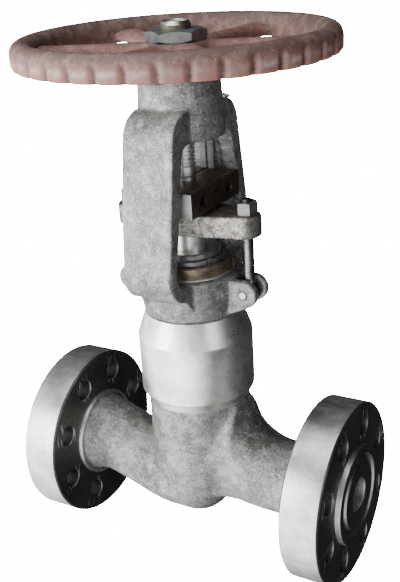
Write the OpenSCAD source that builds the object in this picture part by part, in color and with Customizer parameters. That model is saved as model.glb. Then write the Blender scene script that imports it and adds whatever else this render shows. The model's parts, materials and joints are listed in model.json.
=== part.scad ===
// Pressure seal globe valve: flanged ring-joint ends, outside screw and yoke, rising stem.
// The origin is the centre of the inlet flange's bolting face. The flow runs along +X to the
// outlet flange, and the stem stands along +Z above the middle of the body.

/* [Flanges] */
// Length over both raised faces
end_to_end = 584.2; // [560:0.2:640]
// Outer diameter of both end flanges
flange_d = 304.8; // [296:0.2:330]
// Thickness of each flange, without its raised face
flange_t = 66.5; // [58:0.5:74]
// Chamfer on the rims of the flanges
flange_chamfer = 3; // [1:0.5:6]
// Diameter of the raised face
raised_face_d = 168; // [155:1:180]
// Height of the raised face
raised_face_h = 9.53; // [7.5:0.01:11]
// Mean diameter of the ring-joint groove
groove_pitch_d = 127; // [122:1:132]
// Width of the ring-joint groove
groove_w = 13.49; // [11:0.01:15]
// Depth of the ring-joint groove
groove_depth = 9.53; // [7:0.01:10]
// Diameter of the circle that the flange bolts stand on
bolt_circle_d = 228.6; // [222:0.2:236]
// Diameter of the flange bolt holes
bolt_hole_d = 35; // [30:0.5:38]
// Number of bolt holes in each flange
bolt_count = 8; // [4:4:12]
// Diameter of the hub behind each flange
hub_d = 140; // [134:1:150]
// Length of the hub's taper down to the nozzle
hub_taper_l = 30; // [20:1:45]

/* [Body casting] */
// Bore of the ports
bore_d = 57; // [50:0.5:62]
// Outer diameter of the two nozzles
nozzle_d = 126; // [116:1:132]
// Outer diameter of the cast chamber above the seat
barrel_d = 172; // [168:1:178]
// Height of the chamber's rounded lower edge, from the pipe axis
barrel_bottom_z = -22; // [-30:1:-12]
// Radius of the chamber's lower edge
barrel_edge_r = 16; // [8:1:20]
// How far the inlet passage drops below the pipe axis
inlet_drop = 44; // [38:1:50]
// Outer diameter of the inlet passage where it turns up under the seat
turn_d = 134; // [130:1:140]
// Distance before the stem at which the inlet passage starts to drop
inlet_start = 205; // [195:1:212]
// Distance before the stem at which the inlet passage is level again
inlet_level = 50; // [40:1:70]
// How much wider in radius the cast passages are than the bored ports
passage_step = 4; // [2:0.5:5]
// Height of the outlet passage where it leaves the chamber
outlet_rise = 40; // [36:1:44]
// Distance after the stem at which the outlet passage is level again
outlet_end = 195; // [185:1:205]
// Distance after the stem at which the outlet's upper fillet ends
outlet_fillet_end = 188; // [180:1:205]
// Half width of the outlet where it leaves the chamber
outlet_half_w = 76; // [70:1:82]

/* [Pressure seal neck] */
// Outer diameter of the machined neck
neck_d = 192; // [188:1:198]
// Height at which the neck's lower cone starts
neck_cone_z = 133; // [128:1:140]
// Height of the lower end of the neck's cylinder
neck_bottom_z = 151; // [146:1:158]
// Height of the upper end of the neck's cylinder
neck_shoulder_z = 250; // [244:1:258]
// Height of the face that the yoke stands on
yoke_seat_z = 291; // [288:1:296]
// Diameter of the neck at that face
yoke_seat_d = 162; // [160:1:166]
// Outer diameter of the spigot that centres the yoke
spigot_d = 144; // [142:1:148]
// Height of the spigot above the yoke seat
spigot_h = 70; // [66:1:74]
// Bore of the neck, which the bonnet slides in
neck_bore_d = 122; // [118:1:124]
// Height of the groove that holds the segmental thrust ring
thrust_groove_z = 260; // [257:1:263]
// Depth of that groove
thrust_groove_depth = 9; // [7:0.5:9.5]

/* [Seat and disc] */
// Outer diameter of the seat ring
seat_ring_d = 84; // [78:1:90]
// Height of the seat ring
seat_ring_h = 16; // [14:1:20]
// Height of the chamber floor, from the pipe axis
chamber_floor_z = 4; // [2:1:8]
// Width of the cone on the seat ring
seat_cone_w = 5; // [3:0.5:7]
// Outer diameter of the disc
disc_d = 80; // [76:1:90]
// Height of the disc's body above the seat ring
disc_h = 62; // [56:1:68]
// Length of the disc's nose inside the seat
disc_nose_h = 8; // [5:1:10]
// Diameter of the cavity in the disc
disc_cavity_d = 56; // [52:1:60]
// Thickness of the disc below the cavity
disc_floor_t = 24; // [18:1:28]
// Height of that nut's hexagon
disc_nut_h = 12; // [8:1:16]
// Width across the flats of that nut's hexagon
disc_nut_af = 66; // [60:1:70]

/* [Stem] */
// Diameter of the stem and of its thread
stem_d = 36; // [34:0.5:38]
// Diameter of the stem's waist inside the clamp
stem_waist_d = 33; // [30:0.5:34]
// Diameter of the button on the stem's lower end
stem_button_d = 46; // [42:0.5:50]
// Height of that button
stem_button_h = 14; // [10:1:17]
// Diameter of the shoulder that seals in the backseat
backseat_d = 46; // [44:1:50]
// Height of that shoulder
backseat_h = 12; // [10:1:16]
// Height of the stem's upper end above the yoke seat, with the valve shut
stem_top_h = 455; // [446:1:460]
// Travel of the stem between shut and fully open
stem_lift = 39; // [30:1:40]
// Length of the plain relief under the stem's thread
thread_relief_h = 6; // [4:1:10]

/* [Bonnet] */
// Height of the bonnet's lower face
bonnet_bottom_z = 196; // [194:1:200]
// Height of the bonnet's thick lower disc
bonnet_disc_h = 30; // [26:1:32]
// Height of the seal gasket's cone
gasket_h = 22; // [18:1:24]
// Step in radius over the seal gasket's cone
gasket_cone = 6; // [4:0.5:7]
// Outer diameter of the bonnet's threaded column
column_d = 100; // [98:0.5:104]
// Height of the bonnet's top above the spigot's top
bonnet_top_h = 35; // [32:1:40]
// Diameter of the stuffing box
box_d = 59; // [55:1:62]
// Height of the stuffing box's floor above the yoke seat
box_floor_h = 9; // [6:1:14]
// Thickness of the segmental thrust ring
thrust_ring_h = 18; // [15:1:20]
// Number of segments in the thrust ring
thrust_segments = 4; // [3:1:6]
// Gap between the ends of two segments
segment_gap = 4; // [2:0.5:6]
// Outer diameter of the backseat bushing
bushing_d = 52; // [50:1:60]
// Height of the backseat bushing
bushing_h = 20; // [16:1:24]
// Outer diameter of the bonnet retainer plate
plate_d = 134; // [130:1:140]
// Thickness of the bonnet retainer plate
plate_h = 18; // [14:1:20]
// Depth of the plate's lip inside the neck
plate_lip_h = 8; // [5:1:10]
// Outer diameter of the bonnet take-up nut
take_up_nut_d = 120; // [116:1:124]
// Height of the bonnet take-up nut
take_up_nut_h = 9; // [8:1:12]
// Number of spanner slots in the take-up nut
take_up_slots = 6; // [4:1:8]

/* [Packing and gland] */
// Thickness of the packing washer
packing_washer_h = 6; // [4:1:8]
// Number of packing rings
packing_count = 5; // [3:1:5]
// Height of one packing ring
packing_ring_h = 12; // [10:0.5:12.5]
// Height of the gland follower's top above the yoke seat
follower_top_h = 140; // [137:1:144]
// Height by which the follower's collar enters the gland flange
follower_collar_h = 6; // [4:1:8]
// Thickness of the gland flange
gland_flange_t = 36; // [30:1:38]
// Distance of each eye bolt from the stem
eye_bolt_x = 106; // [102:1:112]
// Radius of the gland flange's middle
gland_middle_r = 46; // [42:1:50]
// Radius of the gland flange's two ears
gland_ear_r = 23; // [20:1:26]
// Diameter of the eye bolts
eye_bolt_d = 19; // [17:0.5:20]
// Width across the flats of the gland nuts
gland_nut_af = 32; // [30:0.5:36]
// Height of the gland nuts
gland_nut_h = 20; // [17:0.5:22]
// How far the eye bolts stand out of their nuts
eye_bolt_stickout = 4; // [2:0.5:8]
// Outer diameter of the bolts' eyes
eye_d = 36; // [32:1:38]
// Width of the bolts' eyes
eye_w = 24; // [20:1:26]
// Diameter of the clevis pins
clevis_pin_d = 14; // [12:0.5:16]

/* [Yoke] */
// Height at which the base ring reaches its full width
base_cone_h = 28; // [22:1:34]
// Height of the base ring, whose top is the floor of the window
base_ring_h = 69; // [64:1:70]
// Outer diameter of the base ring at its top
base_ring_d = 172; // [168:1:176]
// Width of the arms along the pipe
arm_w = 88; // [82:1:92]
// Half spread of the arms at their widest
arm_low_y = 133; // [128:1:138]
// Half spread of the arms at their top
arm_high_y = 100; // [96:1:106]
// Height of the arms' widest part above the yoke seat
arm_low_h = 92; // [86:1:98]
// Height of the arms' top above the yoke seat
arm_high_h = 292; // [286:1:298]
// Thickness of the arms
arm_t = 24; // [22:1:30]
// Radius of the arms' lower corners
arm_low_r = 46; // [40:1:52]
// Radius of the arms' upper corners
arm_high_r = 44; // [38:1:50]
// Rounding along the arms' outer edges
arm_edge_r = 12; // [8:1:16]
// Height of the window's top above the yoke seat
window_top_h = 286; // [284:1:292]
// Radius of the window's lower corners
window_low_r = 26; // [20:1:32]
// Radius of the window's upper corners
window_high_r = 20; // [12:1:26]
// Half distance between the two guide ribs
rib_y = 70; // [66:1:74]
// Width of the guide ribs
rib_w = 26; // [22:1:30]
// Diameter of the hub at its top
yoke_hub_top_d = 128; // [124:1:134]
// Diameter of the hub at its bottom
yoke_hub_bottom_d = 136; // [132:1:140]
// Height of the hub's top above the yoke seat
yoke_hub_top_h = 376; // [372:1:380]
// Half width of each clevis over its two ears
clevis_half_w = 26; // [24:1:30]
// Height of the clevis pins above the yoke seat
clevis_pin_h = 42; // [40:1:46]
// Radius of the clevis ears
clevis_ear_r = 23; // [20:1:25]

/* [Stem clamp] */
// Height of the clamp's lower face above the yoke seat, with the valve shut
clamp_bottom_h = 176; // [174:1:182]
// Height of the clamp
clamp_h = 40; // [34:1:42]
// Thickness of each half of the clamp
clamp_half_t = 54; // [46:1:58]
// Half length of the clamp
clamp_half_l = 77; // [75:1:79]
// Distance of the clamp screws from the stem
clamp_screw_y = 41; // [36:1:46]
// Diameter of the clamp screws
clamp_screw_d = 12; // [10:0.5:12]
// Diameter of the clamp screws' heads
clamp_head_d = 18; // [16:0.5:19]
// Depth of the counterbores for those heads
clamp_counterbore = 15; // [13:1:18]

/* [Yoke nut and bearings] */
// Outer diameter of the yoke nut
sleeve_d = 54; // [52:1:56]
// Diameter of the yoke nut's upper thread
sleeve_thread_d = 48; // [46:1:50]
// Diameter of the yoke nut's flange
sleeve_flange_d = 82; // [78:1:84]
// Thickness of that flange
sleeve_flange_t = 14; // [12:1:16]
// Outer diameter of the thrust bearings
bearing_d = 84; // [80:1:86]
// Height of each thrust bearing
bearing_h = 20; // [18:1:22]
// Height of the lower bearing's seat above the yoke seat
bearing_seat_h = 312; // [308:1:316]
// Number of balls in each bearing
ball_count = 16; // [10:1:18]
// Diameter of the balls
ball_d = 9; // [8:0.5:10]
// Outer diameter of the bearing retainer ring
retainer_ring_d = 118; // [112:1:122]
// Height of the retainer ring above the hub
retainer_ring_h = 12; // [9:1:14]
// Length of the retainer ring's thread
retainer_thread_h = 10; // [8:1:11]
// Diameter of the retainer ring's thread
retainer_thread_d = 96; // [92:1:98]
// Height of the grease nipple above the yoke seat
nipple_h = 345; // [340:1:350]
// Direction of the grease nipple, from the flow direction
nipple_turn = 22; // [0:1:40]

/* [Handwheel] */
// Outer diameter of the handwheel
wheel_d = 496; // [470:2:520]
// Height of the rim
rim_h = 41; // [36:1:44]
// Height of the rim's crest above the yoke seat
rim_top_h = 446; // [442:1:450]
// Radial width of the rim over its inner lip
rim_w = 36; // [30:1:42]
// Number of grip lobes on the rim
lobe_count = 36; // [24:1:44]
// Depth of the grooves between the lobes
lobe_depth = 4; // [2:0.5:5]
// Width of those grooves
groove_between = 12; // [8:1:16]
// Number of spokes
spoke_count = 6; // [3:1:8]
// Direction of the first spoke, from the flow direction
spoke_turn = 22; // [0:1:59]
// Width of a spoke at its middle
spoke_w = 27; // [22:1:34]
// Thickness of a spoke
spoke_t = 22; // [18:1:26]
// Radius where a spoke runs into the rim
spoke_flare = 26; // [16:1:32]
// Diameter of the wheel's hub
wheel_hub_d = 108; // [100:1:120]
// Height of the wheel's hub
wheel_hub_h = 41; // [38:1:44]
// Width across the flats of the wheel nut
wheel_nut_af = 82; // [76:1:86]
// Height of the wheel nut
wheel_nut_h = 17; // [14:1:20]
// How far the yoke nut stands out of the wheel nut
sleeve_stickout = 12; // [6:1:14]
// Width of the wheel's key
key_w = 12; // [10:1:14]
// Height of the wheel's key
key_h = 8; // [6:0.5:9]
// Length of the wheel's key
key_l = 30; // [24:1:34]

/* [Clearances] */
// Radial clearance of pieces that are fitted without play
fit_gap = 0.03; // [0.02:0.01:0.05]
// Radial clearance of pieces that turn or slide in each other
run_gap = 0.06; // [0.03:0.01:0.09]
// Clearance between pieces that only pass each other
free_gap = 0.3; // [0.2:0.05:0.5]

/* [Hidden] */

CASTING = [0.70, 0.70, 0.68];
BRIGHT = [0.82, 0.83, 0.84];
DARK_STEEL = [0.25, 0.24, 0.24];
SCALED_STEEL = [0.55, 0.52, 0.48];
BRASS = [0.75, 0.62, 0.38];
OILED_STEEL = [0.45, 0.36, 0.25];
GRAPHITE = [0.18, 0.18, 0.19];
PRIMER = [0.47, 0.33, 0.30];
NUT_STEEL = [0.50, 0.53, 0.56];
SMOOTH = 60;

// Places along the pipe, from the inlet flange's bolting face
stem_x = end_to_end / 2 - raised_face_h;
nozzle_r = nozzle_d / 2;
bore_r = bore_d / 2;
port_x = end_to_end / 2;
flange_front = port_x - raised_face_h;
flange_back = flange_front - flange_t;

// Body and neck
barrel_r = barrel_d / 2;
neck_r = neck_d / 2;
neck_bore_r = neck_bore_d / 2;
spigot_top_z = yoke_seat_z + spigot_h;
thrust_groove_r = neck_bore_r + thrust_groove_depth;
turn_r = turn_d / 2;
passage_r = bore_r + passage_step;
corner_r = passage_r + 1;
pocket_r = passage_r + 2;
seat_top_z = chamber_floor_z + seat_ring_h;
seat_ring_r = seat_ring_d / 2;
// How much wider a faceted casting is than the round nozzle that it runs into
blend = 0.6;
// Where the casting's middle ends and its inlet and outlet begin
middle_x = neck_r + 4;

// Stem and disc stack
stem_r = stem_d / 2;
waist_r = stem_waist_d / 2;
disc_top_z = seat_top_z + disc_h;
cavity_floor_z = seat_top_z + disc_floor_t;
stem_bottom_z = cavity_floor_z + free_gap / 2;
stem_button_top_z = stem_bottom_z + stem_button_h;
stem_top_z = yoke_seat_z + stem_top_h;
disc_nut_bottom_z = stem_button_top_z + free_gap / 2;
backseat_top_z = bonnet_bottom_z - stem_lift - 1;

// Bonnet stack
bonnet_top_z = spigot_top_z + bonnet_top_h;
bonnet_disc_top_z = bonnet_bottom_z + bonnet_disc_h;
gasket_top_z = bonnet_disc_top_z + gasket_h;
column_r = column_d / 2;
box_r = box_d / 2;
box_floor_z = yoke_seat_z + box_floor_h;
bonnet_r = neck_bore_r - fit_gap;
cone_low_r = bonnet_r - 3;
cone_high_r = cone_low_r - gasket_cone;
spacer_top_z = thrust_groove_z;
plate_bottom_z = spigot_top_z;
plate_top_z = plate_bottom_z + plate_h;
packing_bottom_z = box_floor_z + packing_washer_h;
packing_top_z = packing_bottom_z + packing_count * packing_ring_h;

// Gland
gland_bottom_z = yoke_seat_z + follower_top_h - follower_collar_h;
gland_top_z = gland_bottom_z + gland_flange_t;
collar_r = stem_r + 8;
eye_bolt_r = eye_bolt_d / 2;
clevis_pin_z = yoke_seat_z + clevis_pin_h;
clevis_pin_r = clevis_pin_d / 2;

// Yoke
window_floor_z = yoke_seat_z + base_ring_h;
window_top_z = yoke_seat_z + window_top_h;
base_ring_r = base_ring_d / 2;
hub_top_z = yoke_seat_z + yoke_hub_top_h;
ear_half_gap = eye_w / 2 + free_gap;
// Where the cheeks of the arms and of the clevises run into the base ring
cheek_root_y = base_ring_r - 8;

// Yoke nut, bearings and wheel
sleeve_r = sleeve_d / 2;
lower_bearing_z = yoke_seat_z + bearing_seat_h;
sleeve_flange_z = lower_bearing_z + bearing_h + free_gap / 2;
upper_bearing_z = sleeve_flange_z + sleeve_flange_t + free_gap / 2;
bearing_top_z = upper_bearing_z + bearing_h;
retainer_bottom_z = hub_top_z - retainer_thread_h;
retainer_top_z = hub_top_z + retainer_ring_h;
wheel_hub_bottom_z = retainer_top_z + free_gap;
wheel_hub_top_z = wheel_hub_bottom_z + wheel_hub_h;
wheel_nut_top_z = wheel_hub_top_z + wheel_nut_h;
sleeve_top_z = wheel_nut_top_z + sleeve_stickout;
sleeve_bottom_z = window_top_z + 6;
sleeve_shoulder_z = wheel_hub_top_z - 2;
key_low_z = sleeve_shoulder_z - 1 - key_l;
wheel_r = wheel_d / 2;
rim_top_z = yoke_seat_z + rim_top_h;
rim_bottom_z = rim_top_z - rim_h;
rim_inner_r = wheel_r - rim_w;

// Points of an arc round a centre, from one angle to another
function arc(centre, r, from, to, steps) = [
    for (i = [0:steps])
        let (a = from + (to - from) * i / steps)
            [centre[0] + r * cos(a), centre[1] + r * sin(a)]
];

// An S-shaped rise from 0 to 1
function ease(t) = let (u = min(1, max(0, t))) u * u * (3 - 2 * u);

// An oval section across the pipe, between two heights
function oval(x, low, high, half_w, sides) = [
    for (i = [0:sides - 1])
        let (a = 360 * i / sides)
            [x, half_w * cos(a), (low + high) / 2 + (high - low) / 2 * sin(a)]
];

// A closed solid through a row of sections with the same number of points
module loft(sections) {
    rows = len(sections);
    sides = len(sections[0]);
    points = [for (s = sections) for (p = s) p];
    walls = [
        for (i = [0:rows - 2]) for (j = [0:sides - 1])
            let (k = (j + 1) % sides)
                [i * sides + j, (i + 1) * sides + j, (i + 1) * sides + k, i * sides + k]
    ];
    first = [for (j = [0:sides - 1]) j];
    last = [for (j = [0:sides - 1]) rows * sides - 1 - j];
    polyhedron(points, concat(walls, [first, last]));
}

// Puts a piece on the stem's axis
module on_stem() {
    translate([stem_x, 0, 0]) children();
}

// A ring or tube round the stem's axis
module tube(z, h, outer, inner) {
    translate([0, 0, z]) difference() {
        cylinder(r = outer, h = h, $fn = SMOOTH);
        translate([0, 0, -1]) cylinder(r = inner, h = h + 2, $fn = SMOOTH);
    }
}

// A solid of revolution round the stem's axis
module turned(outline) {
    rotate_extrude($fn = SMOOTH) polygon(outline);
}

// A hexagon prism by its width across the flats, with chamfered corners
module hexagon(af, h) {
    corner_r = af / 2 / cos(30);
    intersection() {
        cylinder(r = corner_r, h = h, $fn = 6);
        turned([
            [0, 0], [af / 2 - 0.5, 0], [corner_r + 0.1, 2], [corner_r + 0.1, h - 2],
            [af / 2 - 0.5, h], [0, h]
        ]);
    }
}

// One end flange, its raised face towards -X
module flange() {
    rotate([0, -90, 0]) difference() {
        turned([
            [bore_r, flange_back], [flange_d / 2 - flange_chamfer, flange_back],
            [flange_d / 2, flange_back + flange_chamfer],
            [flange_d / 2, flange_front - flange_chamfer],
            [flange_d / 2 - flange_chamfer, flange_front],
            [raised_face_d / 2, flange_front], [raised_face_d / 2, port_x - 1],
            [raised_face_d / 2 - 1, port_x],
            [groove_pitch_d / 2 + groove_w / 2, port_x],
            [groove_pitch_d / 2 + groove_w / 4, port_x - groove_depth],
            [groove_pitch_d / 2 - groove_w / 4, port_x - groove_depth],
            [groove_pitch_d / 2 - groove_w / 2, port_x], [bore_r, port_x]
        ]);
        for (i = [0:bolt_count - 1])
            rotate([0, 0, (i + 0.5) * 360 / bolt_count])
                translate([bolt_circle_d / 2, 0, flange_back - 10])
                    cylinder(d = bolt_hole_d, h = flange_t + 20, $fn = 24);
    }
}

// The tapered hub behind a flange, its wide end towards -X
module hub() {
    root = flange_back - hub_taper_l;
    rotate([0, -90, 0]) turned([
        [0, root - 20], [nozzle_r, root - 20], [nozzle_r, root], [hub_d / 2, flange_back - 4],
        [hub_d / 2 + 4, flange_back], [0, flange_back]
    ]);
}

// A round bar from one point on the pipe's middle plane to another, both as [x, z]
module bar(r, from, to) {
    run = to[0] - from[0];
    rise = to[1] - from[1];
    translate([from[0], 0, from[1]]) rotate([0, 90 - atan2(rise, run), 0])
        cylinder(r = r, h = norm([run, rise]), $fn = SMOOTH);
}

// A ball on the pipe's middle plane
module ball(r, at) {
    translate([at[0], 0, at[1]]) sphere(r = r, $fn = 30);
}

// Outside of the inlet passage, which drops under the seat
module inlet_outside() {
    steps = 9;
    loft([
        for (i = [0:steps])
            let (t = i / steps, x = -inlet_start * (1 - t))
            let (s = ease(t * 1.25), r = nozzle_r + blend + (turn_r - nozzle_r) * s)
                oval(x, -inlet_drop * s - r, -inlet_drop * s + r, r, 28)
    ]);
    ball(turn_r, [0, -inlet_drop]);
}

// Outside of the outlet, with its big fillet up to the neck
module outlet_outside() {
    steps = 9;
    sides = 28;
    start_x = neck_r - 1;
    r = nozzle_r + blend;
    top_z = neck_bottom_z + 4;
    fillet_l = outlet_fillet_end - start_x;
    inside = oval(20, -r, top_z, outlet_half_w, sides);
    end = oval(outlet_fillet_end + 20, -r, r, r, sides);
    fillet = [
        for (i = [0:steps])
            let (a = 90 * i / steps, s = cos(a))
                oval(outlet_fillet_end - fillet_l * s, -r, r + (top_z - r) * (1 - sin(a)),
                    r + (outlet_half_w - r) * s, sides)
    ];
    loft(concat([inside], fillet, [end]));
}

// The inlet passage, which drops under the seat and ends in a round pocket
module inlet_passage() {
    corner = [-inlet_start, 0];
    level = [-inlet_level, -inlet_drop];
    pocket = [0, -inlet_drop];
    bar(passage_r, corner, level);
    bar(passage_r - 0.5, level, pocket);
    ball(corner_r, corner);
    ball(corner_r, level);
    ball(pocket_r, pocket);
}

// The outlet passage, which comes down from the chamber to the outlet port
module outlet_passage() {
    corner = [outlet_end, 0];
    bar(passage_r, [neck_bore_r - 26, outlet_rise], corner);
    ball(corner_r, corner);
}

// The seat's bore, the chamber above it and the neck's bore
module chamber_space() {
    translate([0, 0, -inlet_drop])
        cylinder(r = bore_r - 1, h = inlet_drop + chamber_floor_z, $fn = SMOOTH);
    translate([0, 0, chamber_floor_z - 8])
        cylinder(r = seat_ring_r + fit_gap, h = 20, $fn = SMOOTH);
    translate([0, 0, chamber_floor_z])
        cylinder(r = neck_bore_r, h = spigot_top_z - chamber_floor_z + 1, $fn = SMOOTH);
    translate([0, 0, thrust_groove_z])
        cylinder(r = thrust_groove_r, h = thrust_ring_h + free_gap, $fn = SMOOTH);
}

// Outside of the chamber, the machined neck and its spigot
module barrel_and_neck() {
    edge = [barrel_r - barrel_edge_r, barrel_bottom_z + barrel_edge_r];
    turned(concat(
        [[0, barrel_bottom_z]], arc(edge, barrel_edge_r, -90, 0, 5),
        [
            [barrel_r, neck_cone_z], [neck_r - 1, neck_bottom_z - 1], [neck_r, neck_bottom_z],
            [neck_r, neck_shoulder_z], [yoke_seat_d / 2, yoke_seat_z],
            [spigot_d / 2, yoke_seat_z], [spigot_d / 2, spigot_top_z - 2],
            [spigot_d / 2 - 2, spigot_top_z], [0, spigot_top_z]
        ]
    ));
}

// Keeps the part of a shape between two places along the pipe and two heights
module kept(x_from, x_to, z_from, z_to) {
    intersection() {
        children();
        translate([x_from, -flange_d / 2, z_from])
            cube([x_to - x_from, flange_d, z_to - z_from]);
    }
}

// The casting's middle between two heights
module casting_middle(z_from, z_to) {
    kept(-middle_x, middle_x, z_from, z_to) difference() {
        union() {
            inlet_outside();
            outlet_outside();
            barrel_and_neck();
        }
        inlet_passage();
        outlet_passage();
        chamber_space();
    }
}

// The body is one casting, divided at flat planes into pieces without overlap
module body_under_seat() color(CASTING) on_stem()
    casting_middle(-flange_d / 2, chamber_floor_z);

module body_chamber() color(CASTING) on_stem() casting_middle(chamber_floor_z, neck_cone_z);

module body_neck() color(CASTING) on_stem()
    kept(-middle_x, middle_x, neck_cone_z, thrust_groove_z) difference() {
        union() {
            outlet_outside();
            barrel_and_neck();
        }
        chamber_space();
    }

module body_spigot() color(CASTING) on_stem()
    kept(-middle_x, middle_x, thrust_groove_z, spigot_top_z + 1) difference() {
        barrel_and_neck();
        chamber_space();
    }

module body_inlet() color(CASTING) on_stem()
    kept(-flange_back, -middle_x, -flange_d / 2, flange_d / 2) difference() {
        union() {
            hub();
            inlet_outside();
        }
        bar(bore_r, [-port_x, 0], [-inlet_start, 0]);
        inlet_passage();
    }

module body_outlet() color(CASTING) on_stem()
    kept(middle_x, flange_back, -flange_d / 2, flange_d / 2) difference() {
        union() {
            mirror([1, 0, 0]) hub();
            outlet_outside();
        }
        bar(bore_r, [outlet_end, 0], [port_x, 0]);
        outlet_passage();
    }

module inlet_flange() color(CASTING) on_stem() flange();

module outlet_flange() color(CASTING) on_stem() mirror([1, 0, 0]) flange();

// Ring that the disc shuts on, fitted into the floor of the chamber
module seat_ring() color(BRIGHT) on_stem() {
    turned([
        [bore_r, chamber_floor_z - 8], [seat_ring_r, chamber_floor_z - 8],
        [seat_ring_r, seat_top_z - 2], [seat_ring_r - 2, seat_top_z],
        [bore_r + seat_cone_w, seat_top_z], [bore_r, seat_top_z - seat_cone_w]
    ]);
}

// Plug of the valve, with the cavity that holds the stem's button
module disc() color(BRIGHT) on_stem() {
    nose_z = seat_top_z - disc_nose_h;
    nose_r = bore_r - 1.5;
    cone_low_z = seat_top_z - seat_cone_w + free_gap;
    difference() {
        turned([
            [0, nose_z], [nose_r - 2, nose_z], [nose_r, nose_z + 2],
            [nose_r, cone_low_z - 1.5], [bore_r + seat_cone_w, seat_top_z + free_gap],
            [disc_d / 2 - 4, seat_top_z + 6], [disc_d / 2, seat_top_z + 12],
            [disc_d / 2, disc_top_z - 2], [disc_d / 2 - 2, disc_top_z], [0, disc_top_z]
        ]);
        translate([0, 0, cavity_floor_z])
            cylinder(r = stem_button_d / 2 + 2, h = disc_h, $fn = SMOOTH);
        translate([0, 0, disc_nut_bottom_z])
            cylinder(r = disc_cavity_d / 2, h = disc_h, $fn = SMOOTH);
    }
}

// Nut that holds the stem's button in the disc
module disc_nut() color(BRIGHT) on_stem() {
    thread_h = disc_top_z - disc_nut_bottom_z;
    difference() {
        union() {
            translate([0, 0, disc_nut_bottom_z])
                cylinder(r = disc_cavity_d / 2 - fit_gap, h = thread_h + 1, $fn = SMOOTH);
            translate([0, 0, disc_top_z]) hexagon(disc_nut_af, disc_nut_h);
        }
        translate([0, 0, disc_nut_bottom_z - 1])
            cylinder(r = stem_r + run_gap, h = thread_h + disc_nut_h + 2, $fn = SMOOTH);
    }
}

// Rising stem with its button, backseat shoulder, waist for the clamp and threaded upper part
module stem() color(BRIGHT) on_stem() {
    button_r = stem_button_d / 2;
    waist_low_z = yoke_seat_z + clamp_bottom_h;
    waist_high_z = waist_low_z + clamp_h;
    turned([
        [0, stem_bottom_z], [button_r - 6, stem_bottom_z], [button_r, stem_bottom_z + 4],
        [button_r, stem_button_top_z], [stem_r, stem_button_top_z],
        [stem_r, backseat_top_z - backseat_h - 5], [backseat_d / 2, backseat_top_z - backseat_h],
        [backseat_d / 2, backseat_top_z - 4], [stem_r, backseat_top_z],
        [stem_r, waist_low_z], [waist_r, waist_low_z], [waist_r, waist_high_z + thread_relief_h],
        [stem_r, waist_high_z + thread_relief_h + 2], [stem_r, stem_top_z - 2],
        [stem_r - 2, stem_top_z], [0, stem_top_z]
    ]);
}

module bonnet() color(BRIGHT) on_stem() {
    difference() {
        turned([
            [0, bonnet_bottom_z], [bonnet_r - 2, bonnet_bottom_z],
            [bonnet_r, bonnet_bottom_z + 2], [bonnet_r, bonnet_disc_top_z],
            [cone_low_r, bonnet_disc_top_z], [cone_high_r, gasket_top_z],
            [column_r, gasket_top_z], [column_r, bonnet_top_z - 2],
            [column_r - 2, bonnet_top_z], [0, bonnet_top_z]
        ]);
        translate([0, 0, bonnet_bottom_z - 1])
            cylinder(r = stem_r + run_gap, h = bonnet_top_z, $fn = SMOOTH);
        translate([0, 0, bonnet_bottom_z - 1])
            cylinder(r = bushing_d / 2 + fit_gap, h = bushing_h + 1, $fn = SMOOTH);
        translate([0, 0, box_floor_z]) cylinder(r = box_r, h = bonnet_top_z, $fn = SMOOTH);
    }
}

// Hard bushing in the bonnet, whose lower cone seals on the stem's shoulder
module backseat_bushing() color(BRIGHT) on_stem() {
    bore = stem_r + run_gap;
    turned([
        [bore + 5, bonnet_bottom_z], [bushing_d / 2, bonnet_bottom_z],
        [bushing_d / 2, bonnet_bottom_z + bushing_h], [bore, bonnet_bottom_z + bushing_h],
        [bore, bonnet_bottom_z + 5]
    ]);
}

// Wedge-shaped ring between the bonnet's cone and the neck's bore
module pressure_seal_gasket() color(BRIGHT) on_stem() {
    turned([
        [cone_low_r + fit_gap, bonnet_disc_top_z], [bonnet_r, bonnet_disc_top_z],
        [bonnet_r, gasket_top_z], [cone_high_r + fit_gap, gasket_top_z]
    ]);
}

module gasket_spacer_ring() color(BRIGHT) on_stem() {
    tube(gasket_top_z, spacer_top_z - gasket_top_z, bonnet_r, column_r + fit_gap);
}

// Ring in segments, which carries the bonnet's thrust in the neck's groove
module segmental_thrust_ring() color(BRIGHT) on_stem() {
    difference() {
        tube(thrust_groove_z, thrust_ring_h, thrust_groove_r - fit_gap, column_r + free_gap);
        for (i = [0:thrust_segments - 1])
            rotate([0, 0, (i + 0.5) * 360 / thrust_segments])
                translate([0, -segment_gap / 2, thrust_groove_z - 1])
                    cube([thrust_groove_r + 5, segment_gap, thrust_ring_h + 2]);
    }
}

// Plate on the spigot's top, which the bonnet hangs from
module bonnet_retainer_plate() color(OILED_STEEL) on_stem() {
    inner = column_r + fit_gap;
    lip_r = neck_bore_r - fit_gap;
    turned([
        [inner, plate_bottom_z - plate_lip_h], [lip_r, plate_bottom_z - plate_lip_h],
        [lip_r, plate_bottom_z], [plate_d / 2, plate_bottom_z],
        [plate_d / 2, plate_top_z - 2], [plate_d / 2 - 2, plate_top_z], [inner, plate_top_z]
    ]);
}

// Slotted round nut that pulls the bonnet up against its gasket
module bonnet_take_up_nut() color(DARK_STEEL) on_stem() {
    outer = take_up_nut_d / 2;
    difference() {
        tube(plate_top_z, take_up_nut_h, outer, column_r + fit_gap);
        for (i = [0:take_up_slots - 1])
            rotate([0, 0, (i + 0.5) * 360 / take_up_slots])
                translate([outer - 5, -5, plate_top_z - 1]) cube([10, 10, take_up_nut_h + 2]);
    }
}

module packing_washer() color(BRIGHT) on_stem() {
    tube(box_floor_z, packing_washer_h, box_r - fit_gap, stem_r + run_gap);
}

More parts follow.
